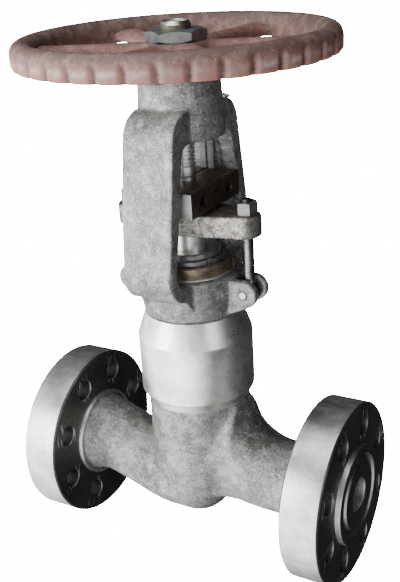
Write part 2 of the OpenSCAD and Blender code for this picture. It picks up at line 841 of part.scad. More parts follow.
// Square braided rings, each with rounded outer edges
module packing_rings() color(GRAPHITE) on_stem() {
    inner = stem_r + free_gap;
    outer = box_r - free_gap;
    for (i = [0:packing_count - 1])
        translate([0, 0, packing_bottom_z + i * packing_ring_h]) turned([
            [inner, 0], [outer - 1, 0], [outer, 1], [outer, packing_ring_h - 1],
            [outer - 1, packing_ring_h], [inner, packing_ring_h]
        ]);
}

// Sleeve that presses on the packing, with a collar that centres the gland flange
module gland_follower() color(BRIGHT) on_stem() {
    outer = box_r - run_gap;
    inner = stem_r + 3 * run_gap;
    turned([
        [inner, packing_top_z], [outer, packing_top_z], [outer, gland_bottom_z],
        [collar_r, gland_bottom_z], [collar_r - 1, gland_bottom_z + follower_collar_h],
        [inner, gland_bottom_z + follower_collar_h]
    ]);
}

// Outline of the gland flange, with an ear at each eye bolt
module gland_outline() {
    waist_r = gland_ear_r + 4;
    hull() {
        circle(r = gland_middle_r, $fn = 48);
        translate([eye_bolt_x - gland_ear_r, 0]) circle(r = waist_r, $fn = 48);
        translate([gland_ear_r - eye_bolt_x, 0]) circle(r = waist_r, $fn = 48);
    }
    for (side = [-1, 1]) translate([side * eye_bolt_x, 0]) circle(r = gland_ear_r, $fn = 48);
}

module gland_flange() color(SCALED_STEEL) on_stem() {
    difference() {
        translate([0, 0, gland_bottom_z]) linear_extrude(gland_flange_t) gland_outline();
        translate([0, 0, gland_bottom_z - 1])
            cylinder(r = collar_r + run_gap, h = follower_collar_h + 1.2, $fn = SMOOTH);
        translate([0, 0, gland_bottom_z - 1])
            cylinder(r = stem_r + 4, h = gland_flange_t + 2, $fn = SMOOTH);
        for (side = [-1, 1])
            translate([side * eye_bolt_x, 0, gland_bottom_z - 1])
                cylinder(r = eye_bolt_r + 1.5, h = gland_flange_t + 2, $fn = 48);
    }
}

// Eye on the clevis pin, with a threaded shank up through the gland flange
module eye_bolt(side) {
    top_z = gland_top_z + gland_nut_h + eye_bolt_stickout;
    translate([side * eye_bolt_x, 0, 0]) difference() {
        union() {
            translate([0, eye_w / 2, clevis_pin_z]) rotate([90, 0, 0])
                cylinder(r = eye_d / 2, h = eye_w, $fn = 64);
            translate([0, 0, clevis_pin_z])
                cylinder(r = eye_bolt_r, h = top_z - clevis_pin_z - 2, $fn = 48);
            translate([0, 0, top_z - 2])
                cylinder(r1 = eye_bolt_r, r2 = eye_bolt_r - 2, h = 2, $fn = 48);
        }
        translate([0, eye_w, clevis_pin_z]) rotate([90, 0, 0])
            cylinder(r = clevis_pin_r + run_gap, h = 2 * eye_w, $fn = 64);
    }
}

module eye_bolt_inlet() color(DARK_STEEL) on_stem() eye_bolt(-1);

module eye_bolt_outlet() color(DARK_STEEL) on_stem() eye_bolt(1);

module clevis_pin(side) {
    length = 2 * clevis_half_w + 2;
    translate([side * eye_bolt_x, length / 2, clevis_pin_z]) rotate([90, 0, 0])
        cylinder(r = clevis_pin_r, h = length, $fn = 64);
}

module clevis_pin_inlet() color(BRIGHT) on_stem() clevis_pin(-1);

module clevis_pin_outlet() color(BRIGHT) on_stem() clevis_pin(1);

module gland_nut(side) {
    translate([side * eye_bolt_x, 0, gland_top_z]) difference() {
        hexagon(gland_nut_af, gland_nut_h);
        translate([0, 0, -1])
            cylinder(r = eye_bolt_r + run_gap, h = gland_nut_h + 2, $fn = 48);
    }
}

module gland_nut_inlet() color(NUT_STEEL) on_stem() gland_nut(-1);

module gland_nut_outlet() color(NUT_STEEL) on_stem() gland_nut(1);

// Half of the arms' outline, from the base ring up to the hub
function arm_side(side) = let (
    low_z = yoke_seat_z + arm_low_h,
    high_z = yoke_seat_z + arm_high_h,
    low = [arm_low_y - arm_low_r, low_z],
    high = [arm_high_y - arm_high_r + 2, high_z],
    shoulder_z = high_z + arm_high_r
) [
    for (p = concat(
        [[0, yoke_seat_z + 6], [cheek_root_y - 14, yoke_seat_z + 12]],
        [[cheek_root_y, yoke_seat_z + base_cone_h + 2]],
        arc(low, arm_low_r, -80, 0, 8), arc(high, arm_high_r, 8, 72, 6),
        [[yoke_hub_bottom_d / 2 - 4, shoulder_z], [0, shoulder_z]]
    )) [side * p[0], p[1]]
];

// Half of the window's outline between the arms
function window_side(side) = let (
    low_y = arm_low_y - arm_t + 4,
    high_y = arm_high_y - arm_t + 2,
    low = [low_y - window_low_r, window_floor_z + window_low_r],
    high = [high_y - window_high_r, window_top_z - window_high_r]
) [
    for (p = concat(
        [[0, window_floor_z]], arc(low, window_low_r, -90, 0, 7),
        arc(high, window_high_r, 8, 90, 4),
        [[0, window_top_z]]
    )) [side * p[0], p[1]]
];

// Extrudes an outline drawn across the pipe, centred along it
module across(width) {
    rotate([90, 0, 90]) translate([0, 0, -width / 2]) linear_extrude(width) children();
}

// Both arms with their guide ribs, still without the hub
module arms() {
    edge_x = arm_w / 2 - arm_edge_r;
    edge_y = arm_low_y + 2 - arm_edge_r;
    intersection() {
        difference() {
            across(arm_w) union() {
                polygon(arm_side(1));
                polygon(arm_side(-1));
            }
            across(arm_w + 2) union() {
                polygon(window_side(1));
                polygon(window_side(-1));
            }
        }
        translate([0, 0, yoke_seat_z]) linear_extrude(yoke_hub_top_h)
            polygon([
                for (turn = [0:3])
                    let (cx = turn == 0 || turn == 3 ? edge_x : -edge_x)
                    let (cy = turn < 2 ? edge_y : -edge_y)
                        for (p = arc([cx, cy], arm_edge_r, turn * 90, turn * 90 + 90, 4)) p
            ]);
    }
    for (side = [-1, 1])
        rotate([0, 0, side * 90]) translate([rib_y, -rib_w / 2, window_floor_z])
            cube([arm_high_y - rib_y - 4, rib_w, window_top_z - window_floor_z + 5]);
}

// One clevis ear pair on its cheek
module clevis() {
    pin = [eye_bolt_x, clevis_pin_z];
    rotate([90, 0, 0]) translate([0, 0, -clevis_half_w]) linear_extrude(2 * clevis_half_w)
        polygon(concat(
            arc(pin, clevis_ear_r, -70, 100, 14),
            [
                [cheek_root_y, clevis_pin_z + clevis_ear_r],
                [cheek_root_y, yoke_seat_z + 4]
            ]
        ));
}

module yoke() color(CASTING) on_stem() {
    hub_bottom_z = window_top_z;
    difference() {
        union() {
            turned([
                [0, yoke_seat_z], [yoke_seat_d / 2, yoke_seat_z],
                [base_ring_r, yoke_seat_z + base_cone_h], [base_ring_r, window_floor_z - 3],
                [base_ring_r - 3, window_floor_z], [0, window_floor_z]
            ]);
            clevis();
            mirror([1, 0, 0]) clevis();
            arms();
            turned([
                [0, hub_bottom_z], [yoke_hub_bottom_d / 2 - 3, hub_bottom_z],
                [yoke_hub_bottom_d / 2, hub_bottom_z + 3], [yoke_hub_top_d / 2, hub_top_z - 2],
                [yoke_hub_top_d / 2 - 2, hub_top_z], [0, hub_top_z]
            ]);
        }
        translate([0, 0, yoke_seat_z - 1])
            cylinder(r = spigot_d / 2 + fit_gap, h = base_ring_h + 2, $fn = SMOOTH);
        translate([0, 0, hub_bottom_z - 1])
            cylinder(r = sleeve_r + 1, h = hub_top_z - hub_bottom_z + 2, $fn = SMOOTH);
        translate([0, 0, lower_bearing_z])
            cylinder(r = bearing_d / 2 + fit_gap, h = hub_top_z, $fn = SMOOTH);
        translate([0, 0, retainer_bottom_z])
            cylinder(r = retainer_thread_d / 2 + fit_gap, h = hub_top_z, $fn = SMOOTH);
        for (side = [-1, 1]) {
            translate([side * eye_bolt_x, clevis_half_w + 1, clevis_pin_z]) rotate([90, 0, 0])
                cylinder(r = clevis_pin_r + fit_gap, h = 2 * clevis_half_w + 2, $fn = 64);
            rotate([0, 0, side > 0 ? 0 : 180])
                translate([base_ring_r + 1, -ear_half_gap, yoke_seat_z])
                    cube([base_ring_r, 2 * ear_half_gap, base_ring_h + clevis_ear_r]);
        }
        rotate([0, 0, nipple_turn]) translate([0, 0, yoke_seat_z + nipple_h])
            rotate([0, 90, 0]) cylinder(r = 3, h = yoke_hub_bottom_d, $fn = 32);
    }
}

// Nipple that feeds grease to the bearings
module grease_nipple() color(BRIGHT) on_stem() {
    face = yoke_hub_top_d / 2 - 1;
    rotate([0, 0, nipple_turn]) translate([0, 0, yoke_seat_z + nipple_h]) rotate([0, 90, 0])
        rotate_extrude($fn = 48) polygon([
            [0, face - 8], [3 - fit_gap, face - 8], [3 - fit_gap, face + 3], [5, face + 3],
            [5, face + 6], [3, face + 7], [2.4, face + 9], [3.2, face + 11],
            [2, face + 13], [0, face + 13]
        ]);
}

// Two washers with a groove each, and the balls between them
module thrust_bearing(z, inner) {
    outer = bearing_d / 2;
    mid = (inner + outer) / 2;
    washer_h = (bearing_h - ball_d) / 2 + 2;
    for (end = [0, 1]) difference() {
        tube(z + end * (bearing_h - washer_h), washer_h, outer, inner);
        translate([0, 0, z + bearing_h / 2]) rotate_extrude($fn = SMOOTH)
            translate([mid, 0]) circle(d = ball_d + 0.1, $fn = 32);
    }
    for (i = [0:ball_count - 1])
        rotate([0, 0, i * 360 / ball_count]) translate([mid, 0, z + bearing_h / 2])
            sphere(d = ball_d, $fn = 32);
}

module lower_thrust_bearing() color(BRIGHT) on_stem() {
    thrust_bearing(lower_bearing_z, sleeve_r + free_gap);
}

module upper_thrust_bearing() color(BRIGHT) on_stem() {
    thrust_bearing(upper_bearing_z, sleeve_r + free_gap);
}

// Threaded ring in the hub's top, which holds the bearings down
module bearing_retainer_ring() color(BRIGHT) on_stem() {
    inner = sleeve_r + free_gap;
    thread_r = retainer_thread_d / 2;
    outer = retainer_ring_d / 2;
    turned([
        [inner, bearing_top_z], [bearing_d / 2, bearing_top_z],
        [bearing_d / 2, retainer_bottom_z + 1], [thread_r, retainer_bottom_z + 1],
        [thread_r, hub_top_z], [outer, hub_top_z], [outer, retainer_top_z - 2],
        [outer - 2, retainer_top_z], [inner, retainer_top_z]
    ]);
}

// Bronze nut that the handwheel turns round the stem's thread
module yoke_nut() color(BRASS) on_stem() {
    flange_r = sleeve_flange_d / 2;
    thread_r = sleeve_thread_d / 2;
    difference() {
        turned([
            [0, sleeve_bottom_z], [sleeve_r - 1, sleeve_bottom_z],
            [sleeve_r, sleeve_bottom_z + 1], [sleeve_r, sleeve_flange_z],
            [flange_r, sleeve_flange_z], [flange_r, sleeve_flange_z + sleeve_flange_t],
            [sleeve_r, sleeve_flange_z + sleeve_flange_t], [sleeve_r, sleeve_shoulder_z],
            [thread_r, sleeve_shoulder_z], [thread_r, sleeve_top_z - 4],
            [thread_r - 4, sleeve_top_z], [0, sleeve_top_z]
        ]);
        translate([0, 0, sleeve_bottom_z - 1])
            cylinder(r = stem_r + run_gap, h = sleeve_top_z, $fn = SMOOTH);
        key_way(sleeve_shoulder_z);
    }
}

// Slot for the key, half in the yoke nut and half in the wheel's hub
module key_way(top_z) {
    rotate([0, 0, spoke_turn]) translate([sleeve_r - key_h / 2, -key_w / 2 - fit_gap, key_low_z])
        cube([key_h, key_w + 2 * fit_gap, top_z - key_low_z]);
}

module handwheel_key() color(DARK_STEEL) on_stem() {
    rotate([0, 0, spoke_turn])
        translate([sleeve_r - key_h / 2 + fit_gap, -key_w / 2, key_low_z])
            cube([key_h - 2 * fit_gap, key_w, key_l]);
}

// Cross-section of the rim: a tall grip face, a narrow crest and an inner lip
module rim_section() {
    crest = [wheel_r - 13, rim_top_z - 9];
    polygon(concat(
        arc([wheel_r - 7, rim_bottom_z + 7], 7, -90, 0, 4),
        [[wheel_r, rim_top_z - 13]], arc(crest, 9, 15, 180, 8),
        [
            [rim_inner_r + 8, rim_bottom_z + 16], [rim_inner_r + 2, rim_bottom_z + 12],
            [rim_inner_r, rim_bottom_z + 8], [rim_inner_r, rim_bottom_z + 4],
            [rim_inner_r + 4, rim_bottom_z]
        ]
    ));
}

// Plan of the spokes, each with a flare where it runs into the rim and the hub
module spoke_plan() {
    root_r = wheel_hub_d / 2 - 4;
    end_r = rim_inner_r + 5;
    w = spoke_w / 2;
    for (i = [0:spoke_count - 1]) rotate([0, 0, spoke_turn + i * 360 / spoke_count])
        polygon(concat(
            [[root_r, -w - 7], [root_r + 16, -w - 1]],
            [for (p = arc([end_r - spoke_flare, -w - spoke_flare], spoke_flare, 90, 12, 5)) p],
            [for (p = arc([end_r - spoke_flare, w + spoke_flare], spoke_flare, -12, -90, 5)) p],
            [[root_r + 16, w + 1], [root_r, w + 7]]
        ));
}

// The spokes, which rise or fall from the hub to the rim
module spokes() {
    root_r = wheel_hub_d / 2 - 5;
    end_r = rim_inner_r + 6;
    root_z = wheel_hub_top_z - spoke_t - 0.3;
    end_z = rim_bottom_z + 2;
    low_z = min(root_z, end_z) - 1;
    high_z = max(root_z, end_z) + spoke_t + 1;
    intersection() {
        translate([0, 0, low_z]) linear_extrude(high_z - low_z) spoke_plan();
        turned([
            [root_r, root_z], [end_r, end_z], [end_r, end_z + spoke_t], [root_r, root_z + spoke_t]
        ]);
    }
}

module handwheel() color(PRIMER) on_stem() {
    hub_r = wheel_hub_d / 2;
    difference() {
        union() {
            rotate_extrude($fn = 144) rim_section();
            spokes();
            turned([
                [0, wheel_hub_bottom_z], [hub_r - 3, wheel_hub_bottom_z],
                [hub_r, wheel_hub_bottom_z + 3], [hub_r, wheel_hub_top_z - 4],
                [hub_r - 4, wheel_hub_top_z], [0, wheel_hub_top_z]
            ]);
        }
        translate([0, 0, wheel_hub_bottom_z - 1])
            cylinder(r = sleeve_r + fit_gap, h = wheel_hub_h + 2, $fn = SMOOTH);
        key_way(wheel_hub_top_z + 1);
        for (i = [0:lobe_count - 1]) rotate([0, 0, (i + 0.5) * 360 / lobe_count])
            translate([wheel_r + groove_between - lobe_depth, 0, rim_bottom_z - 1])
                cylinder(r = groove_between, h = rim_h + 2, $fn = 32);
    }
}

module handwheel_nut() color(NUT_STEEL) on_stem() {
    translate([0, 0, wheel_hub_top_z]) difference() {
        hexagon(wheel_nut_af, wheel_nut_h);
        translate([0, 0, -1])
            cylinder(r = sleeve_thread_d / 2 + fit_gap, h = wheel_nut_h + 2, $fn = SMOOTH);
    }
}

// One half of the anti-rotation clamp, on the outlet side of the stem
module clamp_half() {
    low_z = yoke_seat_z + clamp_bottom_h;
    slot_l = clamp_half_l - rib_y + 1;
    translate([0, 0, low_z]) difference() {
        translate([0.5, -clamp_half_l, 0]) cube([clamp_half_t, 2 * clamp_half_l, clamp_h]);
        translate([0, 0, -1]) cylinder(r = waist_r + fit_gap, h = clamp_h + 2, $fn = SMOOTH);
        for (side = [-1, 1]) {
            translate([-1, side > 0 ? clamp_half_l - slot_l : -clamp_half_l - 1, -1])
                cube([rib_w / 2 + 1 + free_gap, slot_l + 1, clamp_h + 2]);
            translate([-1, side * clamp_screw_y, clamp_h / 2]) rotate([0, 90, 0])
                cylinder(r = clamp_screw_d / 2 + run_gap, h = clamp_half_t + 5, $fn = 48);
            translate([clamp_half_t + 0.5 - clamp_counterbore, side * clamp_screw_y, clamp_h / 2])
                rotate([0, 90, 0])
                    cylinder(r = clamp_head_d / 2 + run_gap, h = clamp_half_t, $fn = 48);
        }
    }
}

module stem_clamp_outlet_half() color(DARK_STEEL) on_stem() clamp_half();

module stem_clamp_inlet_half() color(DARK_STEEL) on_stem() mirror([1, 0, 0]) clamp_half();

// Two socket screws with their nuts sunk in the far half
module stem_clamp_screws() color(DARK_STEEL) on_stem() {
    mid_z = yoke_seat_z + clamp_bottom_h + clamp_h / 2;
    head_x = clamp_half_t + 0.5 - clamp_counterbore;
    head_h = clamp_counterbore - 3;
    for (side = [-1, 1])
        translate([0, side * clamp_screw_y, mid_z]) rotate([0, 90, 0]) difference() {
            union() {
                translate([0, 0, -head_x - head_h])
                    cylinder(r = clamp_screw_d / 2, h = 2 * head_x + head_h, $fn = 48);
                for (z = [head_x, -head_x - head_h]) translate([0, 0, z])
                    cylinder(r = clamp_head_d / 2, h = head_h, $fn = 48);
            }
            translate([0, 0, head_x + head_h - 6]) cylinder(r = 5.8, h = 7, $fn = 6);
        }
}

body_under_seat();
body_chamber();
body_neck();
body_spigot();
body_inlet();
body_outlet();
inlet_flange();
outlet_flange();
seat_ring();
bonnet();
backseat_bushing();
pressure_seal_gasket();
gasket_spacer_ring();
segmental_thrust_ring();
bonnet_retainer_plate();
bonnet_take_up_nut();
packing_washer();
packing_rings();
gland_follower();
gland_flange();
eye_bolt_inlet();
eye_bolt_outlet();
clevis_pin_inlet();
clevis_pin_outlet();
gland_nut_inlet();
gland_nut_outlet();
yoke();
grease_nipple();
lower_thrust_bearing();
upper_thrust_bearing();
bearing_retainer_ring();
stem();
stem_clamp_outlet_half();
stem_clamp_inlet_half();
stem_clamp_screws();
disc();
disc_nut();
yoke_nut();
handwheel();
handwheel_key();
handwheel_nut();
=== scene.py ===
"""Looks of the pressure seal globe valve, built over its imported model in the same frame, in metres.

The pieces are modelled in millimetres about the stem's axis, with the pipe's axis at height 0, and
piece() puts them in the frame. The valve's plane of symmetry is y = 0, and the flow runs along +X.
"""

import json
from math import acos, atan2, cos, degrees, hypot, pi, radians, sin

import bmesh
import bpy
from mathutils import Matrix, Vector


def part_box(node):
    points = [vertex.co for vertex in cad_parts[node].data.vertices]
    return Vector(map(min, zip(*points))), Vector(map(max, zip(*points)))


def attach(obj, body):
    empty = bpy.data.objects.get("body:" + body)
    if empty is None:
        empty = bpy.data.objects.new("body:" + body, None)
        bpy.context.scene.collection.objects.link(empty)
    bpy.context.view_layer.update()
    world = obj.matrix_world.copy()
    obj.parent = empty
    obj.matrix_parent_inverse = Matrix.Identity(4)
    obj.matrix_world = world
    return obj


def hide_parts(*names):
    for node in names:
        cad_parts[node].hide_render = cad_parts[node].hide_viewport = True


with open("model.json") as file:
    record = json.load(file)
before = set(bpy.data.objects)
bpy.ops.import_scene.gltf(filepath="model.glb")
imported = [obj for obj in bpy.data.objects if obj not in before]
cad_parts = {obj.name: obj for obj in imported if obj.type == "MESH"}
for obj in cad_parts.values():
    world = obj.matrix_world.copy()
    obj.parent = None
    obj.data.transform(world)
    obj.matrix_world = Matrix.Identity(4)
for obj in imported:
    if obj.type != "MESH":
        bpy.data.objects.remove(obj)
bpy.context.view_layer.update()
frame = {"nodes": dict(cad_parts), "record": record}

MM = 0.001


def middle(node):
    """Centre of a node's box, in metres."""
    low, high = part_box(node)
    return [(a + b) / 2 for a, b in zip(low, high)]


STEM_X = middle("stem")[0]

# Main sizes, in millimetres from the pipe's axis and the stem's axis
HALF_LENGTH = 292.1
FLANGE_R = 152.4
FLANGE_FRONT = 282.57
FLANGE_BACK = 216.07
HUB_EDGE_R = 72
RAISED_R = 84
GROOVE_R = 63.5
BOLT_CIRCLE_R = 114.3
BOLT_HOLE_R = 17.5
BOLT_COUNT = 8
BORE_R = 28.5
PASSAGE_R = 32.5
NOZZLE_R = 63
NOZZLE_END_X = 236
INLET_BEND_X = -205
INLET_DROP_X = -50
INLET_DROP_Z = -44
OUTLET_BEND_X = 195
BULB_X = -11
BULB_Z = -41
BARREL_R = 86
NECK_R = 96
NECK_BORE_R = 61
THRUST_GROOVE_R = 70
SPIGOT_R = 72
YOKE_SEAT_Z = 291
SPIGOT_TOP_Z = 361
BONNET_R = 60.9
BONNET_BORE_R = 18.1
BONNET_TOP_Z = 396
COLUMN_R = 50
COLUMN_HOLE_R = 50.1
PLATE_TOP_Z = 379
TAKE_UP_NUT_TOP_Z = 388
TAKE_UP_SLOTS = 6
GLAND_LOW_Z = 425
GLAND_TOP_Z = 461
FOLLOWER_R = 29.4
FOLLOWER_COLLAR_R = 26
FOLLOWER_TOP_Z = 431
EYE_BOLT_X = 106
EYE_BOLT_R = 9.5
EYE_THREAD_PITCH = 2.54
PIN_R = 7
PIN_Z = 333
PIN_END = 27
RIB_Y = 70
RIB_HALF_X = 13
RIB_LOW_Z = 364
RIB_TOP_Z = 575
NIPPLE_Z = 636
STEM_R = 18
STEM_HOLE_R = 18.2
STEM_WAIST_R = 16.5
STEM_COLLAR_R = 23
STEM_THREAD_LEAD = 6
STEM_TOP_Z = 746
CLAMP_END_Y = 77
CLAMP_LOW_Z = 467
CLAMP_MIDDLE_Z = 487
CLAMP_TOP_Z = 507
CLAMP_SCREW_Y = 41
CLAMP_SCREW_R = 6
CLAMP_HEAD_R = 9
CLAMP_HEAD_SEAT = 39.5
WHEEL_R = 248
WHEEL_HUB_R = 54
WHEEL_HUB_TOP_Z = 720.3
WHEEL_NUT_TOP_Z = 737.3
RIM_LOW_Z = 696
LOBES = 36
SPOKE_Z = 708.5
SPOKE_HALF_HEIGHT = 11.5
SPOKE_COUNT = 6
SPOKE_TURN = 22
SLEEVE_R = 27
SLEEVE_FLANGE_R = 41
SLEEVE_THREAD_R = 23.9
SLEEVE_TOP_Z = 749.3


# Modelling

def arc(centre, r, start, end, steps=6):
    """Points of an arc, with its angles in degrees."""
    angles = [radians(start + (end - start) * i / steps) for i in range(steps + 1)]
    return [(centre[0] + r * cos(a), centre[1] + r * sin(a)) for a in angles]


def ease(t):
    """An S-shaped rise from 0 to 1."""
    t = min(1, max(0, t))
    return t * t * (3 - 2 * t)


def rounded(outline, r, closed=False, steps=3):
    """An outline with its corners rounded by r, or by less where its sides are short."""
    points = [Vector(p) for p in outline]
    made = []
    for i, corner in enumerate(points):
        if not closed and i in (0, len(points) - 1):
            made.append(tuple(corner))
            continue
        before = points[i - 1] - corner
        after = points[(i + 1) % len(points)] - corner
        reach = min(r, before.length * 0.45, after.length * 0.45)
        first = corner + before.normalized() * reach
        last = corner + after.normalized() * reach
        for step in range(steps + 1):
            t = step / steps
            made.append(tuple(first * (1 - t) ** 2 + corner * 2 * t * (1 - t) + last * t ** 2))
    return made


def flanks(low, high, crest, root, pitch):
    """Outline of a fine thread, as a row of ridges between two heights."""
    count = int((high - low) / pitch)
    rows = [[(root, low + pitch * i), (crest, low + pitch * (i + 0.5))] for i in range(count)]
    return [point for row in rows for point in row]


def tidied(bm):
    """Merges doubles and turns every face outwards."""
    bmesh.ops.remove_doubles(bm, verts=bm.verts, dist=0.002)
    bmesh.ops.recalc_face_normals(bm, faces=bm.faces)
    return bm


def lathe(outline, steps=96, closed=False):
    """Turns an outline of (radius, height) points round the Z axis."""
    bm = bmesh.new()
    verts = [bm.verts.new((r, 0, z)) for r, z in outline]
    pairs = list(zip(verts, verts[1:]))
    if closed:
        pairs.append((verts[-1], verts[0]))
    edges = [bm.edges.new(pair) for pair in pairs]
    bmesh.ops.spin(bm, geom=verts + edges, cent=(0, 0, 0), axis=(0, 0, 1), angle=2 * pi,
                   steps=steps, use_merge=True)
    return tidied(bm)


def ring(outline, steps=96, r=0.6):
    """A turned ring with softened edges."""
    return lathe(rounded(outline, r, closed=True), steps, closed=True)


def drill(r, low, high, steps=48):
    """A round bar along Z that cuts a hole."""
    return lathe([(0, low), (r, low), (r, high), (0, high)], steps)


def prism(outline, low, high):
    """Extrudes an outline in the XY plane from one height to another."""
    bm = bmesh.new()
    face = bm.faces.new([bm.verts.new((x, y, low)) for x, y in outline])
    made = bmesh.ops.extrude_face_region(bm, geom=[face])["geom"]
    tops = [v for v in made if isinstance(v, bmesh.types.BMVert)]
    bmesh.ops.translate(bm, vec=(0, 0, high - low), verts=tops)
    return tidied(bm)


def block(low, high, soft):
    """A box between two corners, with its edges softened unless soft is 0."""
    bm = bmesh.new()
    size = [b - a for a, b in zip(low, high)]
    centre = [(a + b) / 2 for a, b in zip(low, high)]
    bmesh.ops.create_cube(bm, size=1, matrix=Matrix.Translation(centre) @ Matrix.Diagonal((*size, 1)))
    return softened(bm, soft) if soft else bm


def softened(bm, width, angle=40, segments=2):
    """Bevels the edges that are sharper than an angle."""
    edges = [e for e in bm.edges if e.is_manifold and e.calc_face_angle() > radians(angle)]
    bmesh.ops.bevel(bm, geom=edges, offset=width, affect="EDGES", segments=segments, profile=0.5,
                    material=-1, clamp_overlap=True)
    return bm


def moved(bm, by=(0, 0, 0), turn=0, axis="Z"):
    """Turns a mesh about an axis through the origin by degrees, then moves it."""
    matrix = Matrix.Translation(by) @ Matrix.Rotation(radians(turn), 4, axis)
    bmesh.ops.transform(bm, matrix=matrix, verts=bm.verts)
    return bm


def joined(parts):
    """One mesh that holds all the others."""
    whole = bmesh.new()
    for part in parts:
        mesh = bpy.data.meshes.new("part")
        part.to_mesh(mesh)
        part.free()
        whole.from_mesh(mesh)
        bpy.data.meshes.remove(mesh)
    return whole


def as_object(bm, name="work"):
    """Makes an object of a mesh, which is used up."""
    mesh = bpy.data.meshes.new(name)
    bm.to_mesh(mesh)
    bm.free()
    obj = bpy.data.objects.new(name, mesh)
    bpy.context.scene.collection.objects.link(obj)
    return obj


def finished(work, helpers=()):
    """The mesh of a work object with its modifiers applied."""
    graph = bpy.context.evaluated_depsgraph_get()
    mesh = bpy.data.meshes.new_from_object(work.evaluated_get(graph))
    bm = bmesh.new()
    bm.from_mesh(mesh)
    bpy.data.meshes.remove(mesh)
    for obj in (work, *helpers):
        old = obj.data
        bpy.data.objects.remove(obj)
        bpy.data.meshes.remove(old)
    return bm


def cut(base, tools, operation="DIFFERENCE"):
    """Boolean of one closed mesh with the others taken together."""
    work = as_object(base)
    helper = as_object(joined(tools))
    boolean = work.modifiers.new("cut", "BOOLEAN")
    boolean.object = helper
    boolean.operation = operation
    boolean.solver = "EXACT"
    boolean.use_self = operation == "DIFFERENCE" and len(tools) > 1
    return finished(work, [helper])


def cast(parts, voxel, relax):
    """Fuses overlapping closed forms into one skin and softens its creases, as a mould does."""
    work = as_object(joined(parts))
    fuse = work.modifiers.new("fuse", "REMESH")
    fuse.mode = "VOXEL"
    fuse.voxel_size = voxel
    soften = work.modifiers.new("soften", "SMOOTH")
    soften.factor = 0.5
    soften.iterations = relax
    return finished(work)


def loft(sections, sides=48):
    """Skins a row of ovals across X, each (x, middle height, half width, half height)."""
    bm = bmesh.new()
    loops = []
    for x, mid, half_w, half_h in sections:
        place = Matrix.Translation((x, 0, mid)) @ Matrix.Rotation(pi / 2, 4, "Y")
        place = place @ Matrix.Diagonal((half_h, half_w, 1, 1))
        verts = bmesh.ops.create_circle(bm, segments=sides, radius=1, matrix=place)["verts"]
        loops.append(list({e for v in verts for e in v.link_edges}))
    for first, second in zip(loops, loops[1:]):
        bmesh.ops.bridge_loops(bm, edges=first + second)
    for end in (loops[0], loops[-1]):
        bmesh.ops.contextual_create(bm, geom=end)
    return tidied(bm)


def hexagon(across_flats, low, high, bore, turn=0):
    """A hexagon nut with chamfered corners and a bore."""
    corner = across_flats / 2 / cos(pi / 6)
    bevel = (corner - across_flats / 2) * 0.62
    body = prism(arc((0, 0), corner, 0, 300, 5), low, high)
    skirt = ring([
        (bore, low), (across_flats / 2 - 0.5, low), (corner + 0.6, low + bevel),
        (corner + 0.6, high - bevel), (across_flats / 2 - 0.5, high), (bore, high),
    ], r=0.3)
    return moved(softened(cut(body, [skirt], "INTERSECT"), 0.5, 45), turn=turn)


def thread(crest, root, lead, low, high, steps=40):
    """A left-handed threaded rod with a trapezoidal profile, cut off square at both ends."""
    bm = bmesh.new()
    shape = [(root, 0), (root, 0.2), (crest, 0.34), (crest, 0.88), (root, 1)]
    verts = [bm.verts.new((r, 0, low + (part - 1) * lead)) for r, part in shape]
    edges = [bm.edges.new(pair) for pair in zip(verts, verts[1:])]
    turns = int((high - low) / lead) + 2
    bmesh.ops.spin(bm, geom=verts + edges, cent=(0, 0, 0), axis=(0, 0, 1),
                   dvec=(0, 0, lead / steps), angle=-2 * pi * turns, steps=steps * turns)
    bmesh.ops.remove_doubles(bm, verts=bm.verts, dist=0.01)
    for z, outer in ((low, False), (high, True)):
        bmesh.ops.bisect_plane(bm, geom=bm.verts[:] + bm.edges[:] + bm.faces[:], dist=0.001,
                               plane_co=(0, 0, z), plane_no=(0, 0, 1), clear_outer=outer,
                               clear_inner=not outer)
    rims = [e for e in bm.edges if e.is_boundary]
    bmesh.ops.holes_fill(bm, edges=rims, sides=0)
    return tidied(bm)


def piece(name, bm, body, finish, stands_for, sharp=35):
    """Puts a mesh on the stem's axis in metres, with its finish, on the body that carries it."""
    bmesh.ops.scale(bm, vec=(MM, MM, MM), verts=bm.verts)
    bmesh.ops.translate(bm, vec=(STEM_X, 0, 0), verts=bm.verts)
    obj = as_object(bm, name)
    mesh = obj.data
    mesh.materials.clear()
    mesh.materials.append(finish)
    mesh.polygons.foreach_set("use_smooth", [True] * len(mesh.polygons))
    mesh.set_sharp_from_angle(angle=radians(sharp))
    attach(obj, body)
    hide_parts(*stands_for)


# Finishes

class Wire:
    """A socket that takes part in Python arithmetic by adding Math nodes."""

    def __init__(self, finish, socket):
        self.finish = finish
        self.socket = socket

    def math(self, operation, *values, swap=False, clamp=False):
        """Adds a Math node that takes this wire first, or last where swap is set."""
        terms = [*values, self] if swap else [self, *values]
        settings = {"operation": operation, "use_clamp": clamp}
        return self.finish.add("ShaderNodeMath", settings, dict(enumerate(terms)))

    def __add__(self, other):
        return self.math("ADD", other)

    def __sub__(self, other):
        return self.math("SUBTRACT", other)

    def __mul__(self, other):
        return self.math("MULTIPLY", other)

    def __rsub__(self, other):
        return self.math("SUBTRACT", other, swap=True)

    __radd__ = __add__
    __rmul__ = __mul__

    def above(self, edge, soft):
        """0 below an edge and 1 above it, with a soft step."""
        return ((self - (edge - soft)) * (0.5 / soft)).math("ADD", 0, clamp=True)

    def between(self, low, high, soft):
        """1 between two edges and 0 outside them, with soft steps."""
        return self.above(low, soft) * (1 - self.above(high, soft))


